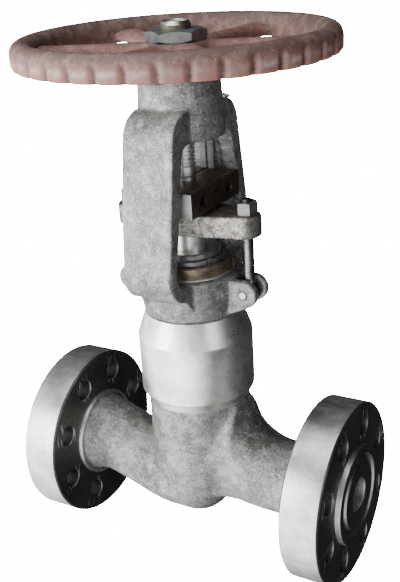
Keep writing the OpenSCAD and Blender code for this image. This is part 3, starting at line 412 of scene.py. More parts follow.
class Finish:
    """A procedural material on Object coordinates."""

    def __init__(self, name):
        self.material = bpy.data.materials.new(name)
        self.material.use_nodes = True
        self.tree = self.material.node_tree
        self.tree.nodes.clear()
        self.place = self.add("ShaderNodeTexCoord", output="Object")
        self.bumps = None

    def add(self, kind, settings=None, sockets=None, output=0):
        """Adds a node: its settings first, then its sockets' values or links."""
        node = self.tree.nodes.new(kind)
        for key, value in (settings or {}).items():
            if key == "stops":
                stops = node.color_ramp.elements
                while len(stops) < len(value):
                    stops.new(0.5)
                for stop, (position, colour) in zip(stops, value):
                    stop.position = position
                    stop.color = (*colour, 1)
            else:
                setattr(node, key, value)
        for key, value in (sockets or {}).items():
            if isinstance(value, Wire):
                self.tree.links.new(value.socket, node.inputs[key])
            else:
                node.inputs[key].default_value = value
        return Wire(self, node.outputs[output])

    def stretched(self, scale):
        """Object coordinates stretched by a scale for each axis."""
        return self.add("ShaderNodeMapping", {"vector_type": "TEXTURE"}, {
            "Vector": self.place, "Scale": [1 / s for s in scale]})

    def noise(self, scale, detail, rough=0.55, place=None):
        """Cloudy noise round 0.5."""
        return self.add("ShaderNodeTexNoise", None, {
            "Vector": place or self.place, "Scale": scale, "Detail": detail, "Roughness": rough})

    def cells(self, scale):
        """Distance from scattered points."""
        return self.add("ShaderNodeTexVoronoi", None, {"Vector": self.place, "Scale": scale})

    def axes(self, place=None):
        """X, Y and Z of a place, as three wires."""
        split = self.add("ShaderNodeSeparateXYZ", None, {"Vector": place or self.place})
        return [Wire(self, socket) for socket in split.socket.node.outputs]

    def facing_x(self):
        """How squarely a face looks along the pipe, from 0 to 1."""
        normal = self.add("ShaderNodeNewGeometry", output="Normal")
        return self.axes(normal)[0].math("ABSOLUTE")

    def radius(self):
        """Distance from the stem's axis, in metres."""
        x, y, _ = self.axes()
        across = x - STEM_X
        return (across * across + y * y).math("SQRT")

    def ramp(self, factor, stops):
        """Colours along a factor, each stop being (position, colour)."""
        return self.add("ShaderNodeValToRGB", {"stops": stops}, {"Fac": factor})

    def mix(self, first, second, factor):
        """Two colours mixed by a factor."""
        first, second = [(*c, 1) if isinstance(c, tuple) else c for c in (first, second)]
        sockets = {0: factor, 6: first, 7: second}
        return self.add("ShaderNodeMix", {"data_type": "RGBA"}, sockets, output=2)

    def bump(self, height, depth, strength):
        """Adds a relief of a depth in millimetres."""
        sockets = {"Height": height, "Strength": strength, "Distance": depth * MM}
        if self.bumps:
            sockets["Normal"] = self.bumps
        self.bumps = self.add("ShaderNodeBump", None, sockets)

    def done(self, colour, roughness, metallic, **fixed):
        """Closes the material. Extra values are set on the shader's own sockets."""
        sockets = {"Base Color": colour, "Roughness": roughness, "Metallic": metallic}
        if isinstance(colour, tuple):
            sockets["Base Color"] = (*colour, 1)
        if self.bumps:
            sockets["Normal"] = self.bumps
        sockets.update({key.replace("_", " "): value for key, value in fixed.items()})
        shader = self.add("ShaderNodeBsdfPrincipled", None, sockets)
        out = self.tree.nodes.new("ShaderNodeOutputMaterial")
        self.tree.links.new(shader.socket, out.inputs["Surface"])
        return self.material


def cast_steel():
    """Shot-blasted sand casting: grey with fine grain, pits, stains, rubbed patches and flecks."""
    f = Finish("cast_steel")
    broad = f.noise(9, 5, 0.6)
    grain = f.noise(420, 4, 0.7)
    blotch = f.noise(70, 6, 0.7)
    pits = 1 - f.cells(120).above(0.16, 0.08)
    rubbed = f.noise(40, 7, 0.75).above(0.58, 0.05)
    stain = f.noise(21, 7, 0.7).above(0.55, 0.06)
    fleck = f.noise(300, 3, 0.6).above(0.635, 0.03)
    tone = broad * 0.2 + blotch * 0.4 + grain * 0.4
    grey = f.ramp(tone, [
        (0.38, (0.070, 0.070, 0.066)), (0.5, (0.200, 0.200, 0.192)), (0.62, (0.40, 0.40, 0.386)),
    ])
    grey = f.mix(grey, (0.085, 0.083, 0.075), stain * 0.5)
    grey = f.mix(grey, (0.52, 0.52, 0.51), rubbed * 0.4)
    grey = f.mix(grey, (0.72, 0.72, 0.71), fleck * 0.55)
    grey = f.mix(grey, (0.035, 0.033, 0.030), pits * 0.7)
    f.bump(grain, 0.6, 0.7)
    f.bump(blotch, 1.4, 0.5)
    f.bump(1 - pits, 0.6, 0.5)
    return f.done(grey, 0.44 + blotch * 0.2, 0.55)


def turned_steel(name, tone):
    """Machined steel with tool marks, fine scratches, small dents and stains."""
    f = Finish(name)
    marks = f.noise(1, 3, 0.6, f.stretched((4, 4, 900)))
    stain = f.noise(16, 6, 0.65)
    fleck = f.noise(260, 3, 0.6)
    scratch = f.noise(1, 2, 0.5, f.stretched((60, 60, 420))).above(0.66, 0.03)
    dents = 1 - f.cells(75).above(0.10, 0.06)
    base = f.ramp(stain, [
        (0.32, (tone * 0.6, tone * 0.59, tone * 0.56)), (0.6, (tone, tone, tone * 0.985)),
    ])
    base = f.mix(base, (0.10, 0.09, 0.08), dents * 0.6)
    base = f.mix(base, (0.86, 0.86, 0.86), scratch * 0.35)
    f.bump(marks, 0.08, 0.35)
    f.bump(fleck, 0.12, 0.25)
    f.bump(1 - dents, 0.5, 0.5)
    return f.done(base, 0.27 + stain * 0.16 + marks * 0.06, 1.0)


def flange_steel():
    """Flange: turned rim painted bright as lit, faces along the pipe painted dark as shade, and
    scratches by the bolt holes.
    """
    f = Finish("flange_steel")
    _, y, z = f.axes()
    out = (y * y + z * z).math("SQRT")
    # rim: surfaces that don't look along the pipe get painted light, the faces that do get painted
    # shade
    rim = 1 - f.facing_x().above(0.45, 0.2)
    # hole: the bores of the bolt holes, which get painted shade below
    hole = rim * out.between(0.093, 0.147, 0.002)
    turn = z.math("ARCTAN2", y) * (BOLT_COUNT / (2 * pi))
    by_hole = 1 - ((turn + BOLT_COUNT).math("FRACT") - 0.5).math("ABSOLUTE").above(0.17, 0.05)
    marks = f.noise(1, 3, 0.6, f.stretched((900, 4, 4)))
    stain = f.noise(13, 6, 0.68)
    fleck = f.noise(240, 3, 0.6)
    smear = f.noise(1, 4, 0.6, f.stretched((9, 40, 16))).above(0.58, 0.07)
    dents = 1 - f.cells(70).above(0.09, 0.05)
    scribe = f.noise(1, 2, 0.5, f.stretched((80, 330, 30))).above(0.585, 0.02)
    scribe = scribe * by_hole * out.between(0.090, 0.142, 0.004) * (1 - rim)
    painted_lit_rim = f.ramp(stain, [(0.34, (0.33, 0.33, 0.32)), (0.6, (0.66, 0.66, 0.65))])
    painted_lit_rim = f.mix(painted_lit_rim, (0.20, 0.20, 0.20), smear * 0.35)
    # dark: painted shade for the faces that look along the pipe
    dark = f.ramp(stain * 0.6 + fleck * 0.4, [
        (0.35, (0.065, 0.065, 0.062)), (0.65, (0.18, 0.18, 0.175)),
    ])
    # painted light on the rim and painted shade on the faces, chosen by which way each surface faces
    tone = f.mix(dark, painted_lit_rim, rim)
    # painted shade inside the bolt holes
    tone = f.mix(tone, (0.12, 0.118, 0.11), hole * 0.75)
    tone = f.mix(tone, (0.80, 0.80, 0.79), scribe)
    tone = f.mix(tone, (0.06, 0.055, 0.05), dents * 0.5)
    f.bump(marks, 0.08, 0.35)
    f.bump(fleck, 0.12, 0.3)
    f.bump(1 - dents, 0.5, 0.5)
    return f.done(tone, 0.34 + stain * 0.2 - rim * 0.06, 0.92)


def plain_metal(name, dark, light, roughness, metallic=1.0):
    """Metal that varies between two tones."""
    f = Finish(name)
    cloud = f.noise(45, 6, 0.65)
    fine = f.noise(300, 4, 0.6)
    colour = f.ramp(cloud * 0.6 + fine * 0.4, [(0.35, dark), (0.65, light)])
    f.bump(fine, 0.15, 0.5)
    return f.done(colour, roughness - 0.08 + cloud * 0.18, metallic)


def clamp_steel():
    """Brown-black clamp with rubbed edges and bare ends."""
    f = Finish("clamp_steel")
    y = f.axes()[1]
    cloud = f.noise(40, 6, 0.65)
    fine = f.noise(310, 4, 0.6)
    ends = y.math("ABSOLUTE").above((CLAMP_END_Y - 0.7) * MM, 0.0003)
    rubbed = f.noise(90, 6, 0.7).above(0.60, 0.04)
    dark = f.ramp(cloud * 0.6 + fine * 0.4, [
        (0.36, (0.020, 0.015, 0.012)), (0.64, (0.085, 0.064, 0.050)),
    ])
    bare = f.ramp(cloud * 0.5 + fine * 0.5, [(0.36, (0.24, 0.24, 0.235)), (0.6, (0.46, 0.46, 0.45))])
    tone = f.mix(dark, (0.20, 0.17, 0.14), rubbed * 0.35)
    tone = f.mix(tone, bare, ends)
    f.bump(fine, 0.25, 0.5)
    return f.done(tone, 0.42 + cloud * 0.2, 0.7)


def primer():
    """Dusty red-brown primer with uneven chips on the lobes, painted light on the rim's low side and
    painted shade on its top, flutes, lobe flanks and inner side.
    """
    f = Finish("primer")
    x, y, z = f.axes()
    turn = y.math("ARCTAN2", x - STEM_X) * (LOBES / (2 * pi))
    part = (turn + LOBES).math("FRACT")
    from_groove = (part - 0.5).math("ABSOLUTE") * 2
    rim = f.radius().above(0.2375, 0.0025)
    # low: the rim's lower part, which gets painted light below
    low = (1 - z.above(0.720, 0.007)) * rim
    # one flank of each lobe, from flute to crest, on the rim's lower part
    painted_flank_shade = part.between(0.52, 0.98, 0.08) * low * z.above(0.704, 0.004)
    painted_groove_shade = (1 - from_groove.above(0.13, 0.07)) * low
    cloud = f.noise(15, 6, 0.65)
    fine = f.noise(330, 4, 0.65)
    # noise for the real dust patches and for varying the painted shade on top
    dust_and_shade_noise = f.noise(48, 6, 0.7)
    band = z.between(0.7075, 0.7150, 0.0030)
    chip = f.noise(85, 7, 0.75).above(0.50, 0.09) * band * rim * from_groove.above(0.45, 0.25)
    chip = chip * f.noise(9, 2).above(0.42, 0.08)
    painted_inner_shade = f.radius().between(0.205, 0.235, 0.003)
    stray = f.noise(90, 7, 0.75).above(0.655, 0.02) * rim
    dot = (1 - f.cells(190).above(0.12, 0.05)) * f.noise(22, 4).above(0.52, 0.05)
    red = f.ramp(cloud * 0.5 + fine * 0.5, [
        (0.34, (0.085, 0.036, 0.029)), (0.5, (0.155, 0.070, 0.057)), (0.66, (0.235, 0.115, 0.095)),
    ])
    # painted light: the rim's lower part made pinker and lighter as if lit
    red = f.mix(red, (0.33, 0.155, 0.125), low * 0.55)
    # painted shade on one flank of each lobe
    red = f.mix(red, (0.165, 0.105, 0.098), painted_flank_shade * 0.6)
    # painted shade on the wheel's top above 722 mm, which faces up
    red = f.mix(red, (0.085, 0.052, 0.047), z.above(0.722, 0.008) * (0.55 + dust_and_shade_noise * 0.5))
    # painted shade on the rim's inner side and the web
    red = f.mix(red, (0.060, 0.032, 0.028), painted_inner_shade * 0.45)
    # painted shade in the flutes between the lobes
    red = f.mix(red, (0.052, 0.022, 0.019), painted_groove_shade * 0.85)
    red = f.mix(red, (0.30, 0.22, 0.165), dust_and_shade_noise.above(0.55, 0.08) * 0.35)
    red = f.mix(red, (0.44, 0.40, 0.36), chip * 0.65)
    red = f.mix(red, (0.40, 0.37, 0.33), stray * 0.5)
    red = f.mix(red, (0.52, 0.48, 0.44), dot * 0.4)
    f.bump(fine, 0.4, 0.5)
    f.bump(1 - chip, 0.35, 0.5)
    return f.done(red, 0.60 + dust_and_shade_noise * 0.15 - chip * 0.15, 0.05)


def scaled_steel():
    """Rough forged steel with pale scale, dark pits and rust specks, and a darker top face."""
    f = Finish("scaled_steel")
    x, _, z = f.axes()
    top = z.above((GLAND_TOP_Z - 1.5) * MM, 0.001)
    end = (x - STEM_X).math("ABSOLUTE").above(0.112, 0.006)
    rough = f.noise(85, 8, 0.72)
    fine = f.noise(330, 5, 0.7)
    rust = f.noise(52, 6, 0.7).above(0.60, 0.03)
    pit = 1 - f.cells(150).above(0.2, 0.12)
    tone = f.ramp(rough * 0.6 + fine * 0.4, [
        (0.39, (0.06, 0.053, 0.045)), (0.48, (0.32, 0.31, 0.29)), (0.57, (0.72, 0.71, 0.68)),
    ])
    tone = f.mix(tone, (0.27, 0.15, 0.07), rust * 0.5)
    tone = f.mix(tone, (0.06, 0.05, 0.045), pit * 0.45)
    # the top face made darker
    tone = f.mix(tone, (0.055, 0.038, 0.028), top * 0.8)
    tone = f.mix(tone, (0.04, 0.037, 0.033), end * 0.8)
    f.bump(rough, 1.6, 0.6)
    f.bump(fine, 0.5, 0.6)
    return f.done(tone, 0.46 + fine * 0.15, 0.5)


STEEL = turned_steel("turned_steel", 0.60)
BRIGHT = turned_steel("bright_steel", 0.90)
DULL = plain_metal("dull_steel", (0.02, 0.02, 0.02), (0.11, 0.11, 0.116), 0.6, 0.3)
FLANGE_STEEL = flange_steel()
CASTING = cast_steel()
PRIMER = primer()
SCALED = scaled_steel()
CLAMP_STEEL = clamp_steel()
DARK = plain_metal("blackened_steel", (0.018, 0.016, 0.014), (0.075, 0.064, 0.054), 0.36, 0.8)
SHINY = plain_metal("shiny_steel", (0.10, 0.10, 0.10), (0.30, 0.30, 0.31), 0.26, 1.0)
OILED = plain_metal("oiled_steel", (0.10, 0.08, 0.055), (0.44, 0.37, 0.265), 0.38, 0.8)
NUT_STEEL = plain_metal("nut_steel", (0.12, 0.123, 0.125), (0.30, 0.305, 0.305), 0.40, 0.85)
BRONZE = plain_metal("bronze", (0.22, 0.205, 0.165), (0.52, 0.50, 0.43), 0.34)
GRAPHITE = plain_metal("graphite", (0.02, 0.02, 0.022), (0.06, 0.06, 0.065), 0.6, 0.2)

SLOT_FINISH = {
    "cast_steel": CASTING, "machined_steel": STEEL, "oiled_steel": OILED, "dark_steel": DARK,
    "scaled_steel": SCALED, "nut_steel": NUT_STEEL, "bronze": BRONZE, "primed_iron": PRIMER,
    "graphite": GRAPHITE,
}


def dress_nodes():
    """Gives every carried-over node the finish of its material slot."""
    for part in frame["record"]["subparts"]:
        obj = frame["nodes"][part["node"]]
        finish = SLOT_FINISH[part["material_slot"]]
        obj.data.materials.clear()
        obj.data.materials.append(finish)


# Studio

def studio_sky():
    """Room light from the front and left, dim from overhead and dark on the right."""
    world = bpy.context.scene.world or bpy.data.worlds.new("world")
    bpy.context.scene.world = world
    world.use_nodes = True
    tree = world.node_tree
    tree.nodes.clear()
    place = tree.nodes.new("ShaderNodeTexCoord").outputs["Generated"]

    def fade(towards, low, high, dim, full):
        facing = tree.nodes.new("ShaderNodeVectorMath")
        facing.operation = "DOT_PRODUCT"
        facing.inputs[1].default_value = Vector(towards).normalized()
        tree.links.new(place, facing.inputs[0])
        level = tree.nodes.new("ShaderNodeMapRange")
        level.interpolation_type = "SMOOTHERSTEP"
        for key, value in (("From Min", low), ("From Max", high), ("To Min", dim), ("To Max", full)):
            level.inputs[key].default_value = value
        tree.links.new(facing.outputs["Value"], level.inputs["Value"])
        return level.outputs["Result"]

    power = tree.nodes.new("ShaderNodeMath")
    power.operation = "MULTIPLY"
    front = fade((-0.60, -0.78, -0.10), low=-0.15, high=0.95, dim=0.05, full=4.3)
    overhead = fade((0, 0, -1), low=-0.65, high=0.0, dim=0.22, full=1.0)
    tree.links.new(front, power.inputs[0])
    tree.links.new(overhead, power.inputs[1])
    glow = tree.nodes.new("ShaderNodeBackground")
    glow.inputs["Color"].default_value = (0.98, 0.99, 1.0, 1)
    tree.links.new(power.outputs[0], glow.inputs["Strength"])
    out = tree.nodes.new("ShaderNodeOutputWorld")
    tree.links.new(glow.outputs["Background"], out.inputs["Surface"])


def paper_floor():
    """White floor, kept out of the reflections so that the metal mirrors the room's light."""
    bm = bmesh.new()
    bmesh.ops.create_grid(bm, x_segments=1, y_segments=1, size=30)
    floor = as_object(moved(bm, (0, 0, -FLANGE_R * MM)), "floor")
    paper = Finish("paper")
    floor.data.materials.append(paper.done(
        (0.88, 0.88, 0.88), 0.9, 0, Emission_Color=(1, 1, 1, 1), Emission_Strength=40.0))
    floor.visible_glossy = False
    floor.visible_diffuse = False


def lamps():
    """Soft lamps in front, above and on the right, each aimed at the valve's middle."""
    centre = Vector((STEM_X, 0, 0.3))
    for name, place, width, height, power, colour in (
        ("key", (-1.1, -2.0, 0.7), 1.2, 1.4, 60, (1, 0.99, 0.97)),
        ("top", (0.0, -0.6, 2.6), 1.4, 1.4, 45, (0.97, 0.98, 1)),
        ("right_fill", (2.4, -1.0, 0.9), 0.8, 1.2, 12, (0.95, 0.97, 1)),
    ):
        light = bpy.data.lights.new(name, "AREA")
        light.shape = "RECTANGLE"
        light.size = width
        light.size_y = height
        light.energy = power
        light.color = colour
        lamp = bpy.data.objects.new(name, light)
        bpy.context.scene.collection.objects.link(lamp)
        lamp.location = place
        lamp.rotation_euler = (centre - Vector(place)).to_track_quat("-Z", "Y").to_euler()


def photo_camera():
    """The photograph's view: 31 degrees round from the front, 22 degrees up, rolled by 3.65 degrees."""
    data = bpy.data.cameras.new("camera")
    data.sensor_fit = "HORIZONTAL"
    data.sensor_width = 36
    data.lens = 84.92
    data.clip_end = 100
    camera = bpy.data.objects.new("camera", data)
    bpy.context.scene.collection.objects.link(camera)
    right = Vector((0.86677, 0.49521, -0.05902))
    up = Vector((-0.13925, 0.35396, 0.92484))
    back = right.cross(up)
    turn = Matrix((right, up, back)).transposed().to_4x4()
    camera.matrix_world = Matrix.Translation((1.03942, -1.23160, 0.90098)) @ turn
    bpy.context.scene.camera = camera


# Body

def slanted(start, end, r):
    """A round bar between two points of the plane y = 0, each (x, z)."""
    run, rise = end[0] - start[0], end[1] - start[1]
    lean = 90 - degrees(atan2(rise, run))
    return moved(drill(r, 0, hypot(run, rise), 64), (start[0], 0, start[1]), lean, "Y")


def ball(r, x, z):
    """A ball in the plane y = 0."""
    bm = bmesh.new()
    bmesh.ops.create_uvsphere(bm, u_segments=64, v_segments=32, radius=r,
                              matrix=Matrix.Translation((x, 0, z)))
    return bm


def flow_passages():
    """The hollow from port to port: two bored ports and two cored passages that meet the seat."""
    ports = [
        moved(drill(BORE_R, 190, 330, 96), turn=side * 90, axis="Y") for side in (-1, 1)
    ]
    inlet = [
        slanted((INLET_BEND_X, 0), (INLET_DROP_X, INLET_DROP_Z), PASSAGE_R),
        slanted((INLET_DROP_X, INLET_DROP_Z), (0, INLET_DROP_Z), PASSAGE_R - 0.5),
        ball(PASSAGE_R + 1, INLET_BEND_X, 0), ball(PASSAGE_R + 1, INLET_DROP_X, INLET_DROP_Z),
        ball(PASSAGE_R + 2, 0, INLET_DROP_Z),
    ]
    outlet = [
        slanted((35, 40), (OUTLET_BEND_X, 0), PASSAGE_R), ball(PASSAGE_R + 1, OUTLET_BEND_X, 0),
    ]
    upright = [drill(BORE_R - 1, INLET_DROP_Z, 6, 96), drill(NECK_BORE_R, 4, 160, 96)]
    return [*ports, *inlet, *outlet, *upright]


def body_casting():
    """Chamber, dropped inlet and outlet with its big fillet, fused as one casting."""
    foot, corner, top = -22, 18, 150
    corner_arc = arc((BARREL_R - corner, foot + corner), corner, -90, 0)
    barrel = lathe([(0, foot), *corner_arc, (BARREL_R, top), (0, top)])
    count = 16
    run = BULB_X - INLET_BEND_X
    drop = [(INLET_BEND_X + run * i / count, BULB_Z * ease(i / count * 1.2)) for i in range(count + 1)]
    inlet = loft([(x, z, NOZZLE_R, NOZZLE_R) for x, z in [(-NOZZLE_END_X, 0), *drop]])
    rise, foot_x, reach = 76, 172, 84
    fillet = []
    for i in range(count + 1):
        a = pi / 2 * i / count
        crest = NOZZLE_R + rise * (1 - sin(a))
        middle_z, half_height = (crest - NOZZLE_R) / 2, (crest + NOZZLE_R) / 2
        fillet.append((foot_x - reach * cos(a), middle_z, NOZZLE_R, half_height))
    blend = [
        (x, rise / 2, half_w, NOZZLE_R + rise / 2)
        for x, half_w in ((43, 74.5), (50, 71), (60, 67), (70, 64.6), (80, 63.3))
    ]
    outlet = loft([*blend, *fillet, (NOZZLE_END_X, 0, NOZZLE_R, NOZZLE_R)])
    low, high, hub_r = 178, 224, 76
    hub = [
        (0, low), (NOZZLE_R, low), (NOZZLE_R + 1, low + 8), (hub_r - 6, high - 13),
        (hub_r, high - 7), (hub_r, high), (0, high),
    ]
    hubs = [moved(lathe(hub), turn=side * 90, axis="Y") for side in (-1, 1)]
    bulb = ball(NOZZLE_R, BULB_X, BULB_Z)
    skin = cast([barrel, bulb, inlet, outlet, *hubs], voxel=3.0, relax=20)
    skin = cut(skin, flow_passages())
    piece("body_casting", skin, "body_and_yoke", CASTING,
          ["body_under_seat", "body_chamber", "body_inlet", "body_outlet"], sharp=50)


def neck():
    """Machined neck with its cones and the spigot inside the yoke."""
    low, foot_r, seat_r = 120, 85.6, 81
    groove_low, groove_high = 260, 278
    outline = [
        (NECK_BORE_R, low), (foot_r, low), (foot_r, 133), (94.6, 149.5), (NECK_R, 152),
        (NECK_R, 249), (95, 251.5), (seat_r, YOKE_SEAT_Z), (SPIGOT_R, YOKE_SEAT_Z),
        (SPIGOT_R, SPIGOT_TOP_Z), (NECK_BORE_R, SPIGOT_TOP_Z), (NECK_BORE_R, groove_high),
        (THRUST_GROOVE_R, groove_high), (THRUST_GROOVE_R, groove_low), (NECK_BORE_R, groove_low),
    ]
    piece("neck", ring(outline, 128, 1.0), "body_and_yoke", BRIGHT,
          ["body_neck", "body_spigot"])


def flange(side, name):
    """One end flange with its raised face, ring groove and bolt holes."""
    low, high, face = FLANGE_BACK, FLANGE_FRONT, HALF_LENGTH
    hub_r, mouth, floor, depth = 78, 6.7, 3.4, 9.5
    outline = rounded([
        (BORE_R, low - 4), (hub_r, low - 4), (hub_r, low), (FLANGE_R - 3, low),
        (FLANGE_R, low + 3), (FLANGE_R, high - 3), (FLANGE_R - 3, high), (RAISED_R, high),
        (RAISED_R, face), (GROOVE_R + mouth, face), (GROOVE_R + floor, face - depth),
        (GROOVE_R - floor, face - depth), (GROOVE_R - mouth, face), (BORE_R + 2, face),
        (BORE_R, face - 2),
    ], 0.8, closed=True)
    bm = lathe(outline, 160, closed=True)
    hole = rounded([
        (0, low - 3), (BOLT_HOLE_R + 3, low - 3), (BOLT_HOLE_R + 1, low), (BOLT_HOLE_R, low + 1.4),
        (BOLT_HOLE_R, high - 1.4), (BOLT_HOLE_R + 1, high), (BOLT_HOLE_R + 3, high + 3),
        (0, high + 3),
    ], 0.4)
    holes = [
        moved(moved(lathe(hole, 48), (BOLT_CIRCLE_R, 0, 0)), turn=(i + 0.5) * 360 / BOLT_COUNT)
        for i in range(BOLT_COUNT)
    ]
    bm = moved(cut(bm, holes), turn=side * 90, axis="Y")
    piece(name + "_turned", bm, "body_and_yoke", FLANGE_STEEL, [name])


def hub_edges():
    """The narrow turned step where each flange meets its hub."""
    low, high = FLANGE_BACK - 6, FLANGE_BACK + 1
    outline = [(HUB_EDGE_R, low), (79, low), (80, high), (HUB_EDGE_R, high)]
    edges = [moved(ring(outline), turn=side * 90, axis="Y") for side in (-1, 1)]
    piece("hub_edges", joined(edges), "body_and_yoke", BRIGHT,
          ["body_inlet", "body_outlet"])


# Bonnet and gland

def bonnet():
    """Bonnet with its gasket cone, its packing box and the fine thread of its column."""
    low, bushing_r, bushing_top = 196, 26.1, 216
    cone_low, cone_high, box_r, box_low = 226, 248, 29.5, 300
    outline = [
        (bushing_r, low), (59, low), (BONNET_R, low + 2), (BONNET_R, cone_low), (57.9, cone_low),
        (51.9, cone_high), (COLUMN_R, cone_high), (COLUMN_R, 386),
        *flanks(386.6, 394.8, COLUMN_R, COLUMN_R - 1.1, 2), (COLUMN_R - 1.6, 395.2),
        (COLUMN_R - 2.6, BONNET_TOP_Z), (30.2, BONNET_TOP_Z), (box_r, 395.2), (box_r, box_low),
        (BONNET_BORE_R, box_low), (BONNET_BORE_R, bushing_top), (bushing_r, bushing_top),
    ]
    piece("bonnet_column", lathe(outline, 96, closed=True), "body_and_yoke", STEEL,
          ["bonnet"])


def retainer_plate():
    """Stepped plate in the spigot's mouth, under the take-up nut."""
    low, rim_r = 353, 67
    outline = [
        (COLUMN_HOLE_R, low), (BONNET_R, low), (BONNET_R, SPIGOT_TOP_Z), (rim_r, SPIGOT_TOP_Z),
        (rim_r, PLATE_TOP_Z - 2), (rim_r - 2, PLATE_TOP_Z), (COLUMN_HOLE_R, PLATE_TOP_Z),
    ]
    piece("retainer_plate", ring(outline, 96, 0.8), "body_and_yoke", OILED,
          ["bonnet_retainer_plate"])


def take_up_nut():
    """Round nut with six spanner slots."""
    low, high, rim_r = PLATE_TOP_Z, TAKE_UP_NUT_TOP_Z, 60
    outline = [
        (COLUMN_HOLE_R, low), (rim_r - 1.2, low), (rim_r, low + 1.2), (rim_r, high - 1.2),
        (rim_r - 1.2, high), (50.9, high), (COLUMN_HOLE_R, high - 0.8),
    ]
    slots = [
        moved(block((rim_r - 5, -5, low - 1), (rim_r + 5, 5, high + 1), 0),
              turn=(i + 0.5) * 360 / TAKE_UP_SLOTS)
        for i in range(TAKE_UP_SLOTS)
    ]
    piece("take_up_nut", cut(ring(outline, 96, 0.5), slots), "body_and_yoke", NUT_STEEL,
          ["bonnet_take_up_nut"])


def follower():
    """Gland follower with its collar, polished by the packing."""
    low = 366
    outline = [
        (STEM_HOLE_R, low), (28.9, low), (FOLLOWER_R, 366.6), (FOLLOWER_R, GLAND_LOW_Z - 0.6),
        (28.8, GLAND_LOW_Z), (FOLLOWER_COLLAR_R, GLAND_LOW_Z), (FOLLOWER_COLLAR_R - 1, FOLLOWER_TOP_Z),
        (STEM_HOLE_R, FOLLOWER_TOP_Z),
    ]
    piece("follower", ring(outline, 96, 0.5), "gland", BRIGHT, ["gland_follower"])


def gland_plan():
    """Outline of the gland flange: three round bosses with straight sides between them."""
    tip, end_r, middle_r = EYE_BOLT_X - 1, 24, 46
    turn = degrees(acos((middle_r - end_r) / tip))
    return [
        *arc((tip, 0), end_r, -turn, turn, 18), *arc((0, 0), middle_r, turn, 180 - turn, 8),
        *arc((-tip, 0), end_r, 180 - turn, 180 + turn, 18),
        *arc((0, 0), middle_r, 180 + turn, 360 - turn, 8),
    ]


def gland_flange():
    """Forged flange with corners rounded by the die, a bore for the stem and two bolt holes."""
    forging = softened(prism(gland_plan(), GLAND_LOW_Z, GLAND_TOP_Z), 4.5, segments=4)
    low, high = GLAND_LOW_Z - 5, GLAND_TOP_Z + 9
    holes = [drill(22, low, high), drill(FOLLOWER_COLLAR_R + 0.1, low, FOLLOWER_TOP_Z + 0.2)]
    holes += [
        moved(drill(EYE_BOLT_R + 1.5, low, high), (x, 0, 0)) for x in (-EYE_BOLT_X, EYE_BOLT_X)
    ]
    piece("gland_forging", cut(forging, holes), "gland", SCALED, ["gland_flange"])


def eye_bolt(side, name):
    """Eye on its pin, with a shank that is threaded where the nut runs."""
    low, top, thread_low = PIN_Z + 12, GLAND_TOP_Z + 24, 437
    shank = lathe([
        (0, low), (EYE_BOLT_R + 2, low), (EYE_BOLT_R, low + 10), (EYE_BOLT_R, thread_low - 1),
        *flanks(thread_low, top - 1.6, EYE_BOLT_R, EYE_BOLT_R - 1.3, EYE_THREAD_PITCH),
        (EYE_BOLT_R - 2, top), (0, top),
    ], 48)
    hole_r, eye_r, half_w = PIN_R + 0.06, 18, 12
    eye = ring([
        (hole_r, -half_w), (eye_r - 1.5, -half_w), (eye_r, 1.5 - half_w), (eye_r, half_w - 1.5),
        (eye_r - 1.5, half_w), (hole_r, half_w),
    ], 64, 0.8)
    bolt = cut(moved(eye, (0, 0, PIN_Z), 90, "X"), [shank], "UNION")
    piece(name + "_shank", moved(bolt, (side * EYE_BOLT_X, 0, 0)), "body_and_yoke", SHINY,
          [name])


def clevis_pin(side, name):
    """Pin through the clevis and the eye, with chamfered ends."""
    pin = lathe(rounded([
        (0, -PIN_END), (PIN_R - 1.4, -PIN_END), (PIN_R, 1.4 - PIN_END), (PIN_R, PIN_END - 1.4),
        (PIN_R - 1.4, PIN_END), (0, PIN_END),
    ], 0.5), 48)
    pin = moved(moved(pin, turn=90, axis="X"), (side * EYE_BOLT_X, 0, PIN_Z))
    piece(name + "_bar", pin, "body_and_yoke", STEEL, [name])


def gland_nut(side, name):
    """Hexagon nut that draws the gland flange down its eye bolt."""
    nut = moved(hexagon(32, GLAND_TOP_Z, GLAND_TOP_Z + 20, EYE_BOLT_R + 0.1, turn=12),
                (side * EYE_BOLT_X, 0, 0))
    piece(name + "_hexagon", nut, name, NUT_STEEL, [name])


# Yoke and its bearing hub

def yoke():
    """The yoke's casting, with the creases of its solid softened."""
    mesh = frame["nodes"]["yoke"].data
    bm = bmesh.new()
    bm.from_mesh(mesh)
    bmesh.ops.translate(bm, vec=(-STEM_X, 0, 0), verts=bm.verts)
    bmesh.ops.scale(bm, vec=(1 / MM,) * 3, verts=bm.verts)
    bmesh.ops.remove_doubles(bm, verts=bm.verts, dist=0.01)
    piece("yoke_casting", cast([bm], voxel=2.2, relax=7), "body_and_yoke", CASTING,
          ["yoke"], sharp=50)


def guide_ways():
    """Machined faces of the two ribs that the clamp slides on."""
    ways = []
    for side in (-1, 1):
        low_y, high_y = sorted((side * RIB_Y, side * (RIB_Y + 6)))
        ways.append(block((-RIB_HALF_X, low_y, RIB_LOW_Z), (RIB_HALF_X, high_y, RIB_TOP_Z), 0.8))
    piece("guide_ways", joined(ways), "body_and_yoke", DULL, ["yoke"])


def retainer_ring():
    """Ring nut that holds the bearings in the hub."""
    low, seat, top = 657.3, 666.9, 679
    nose_r, thread_r, rim_r = 42, 48, 59
    outline = [
        (SLEEVE_R + 0.3, low), (nose_r, low), (nose_r, 658), (thread_r, 658), (thread_r, seat),
        (rim_r - 0.8, seat), (rim_r, 667.7), (rim_r, top - 2), (rim_r - 2, top), (SLEEVE_R + 0.3, top),
    ]
    piece("retainer_ring", ring(outline, 96, 0.5), "body_and_yoke", BRIGHT,
          ["bearing_retainer_ring"])


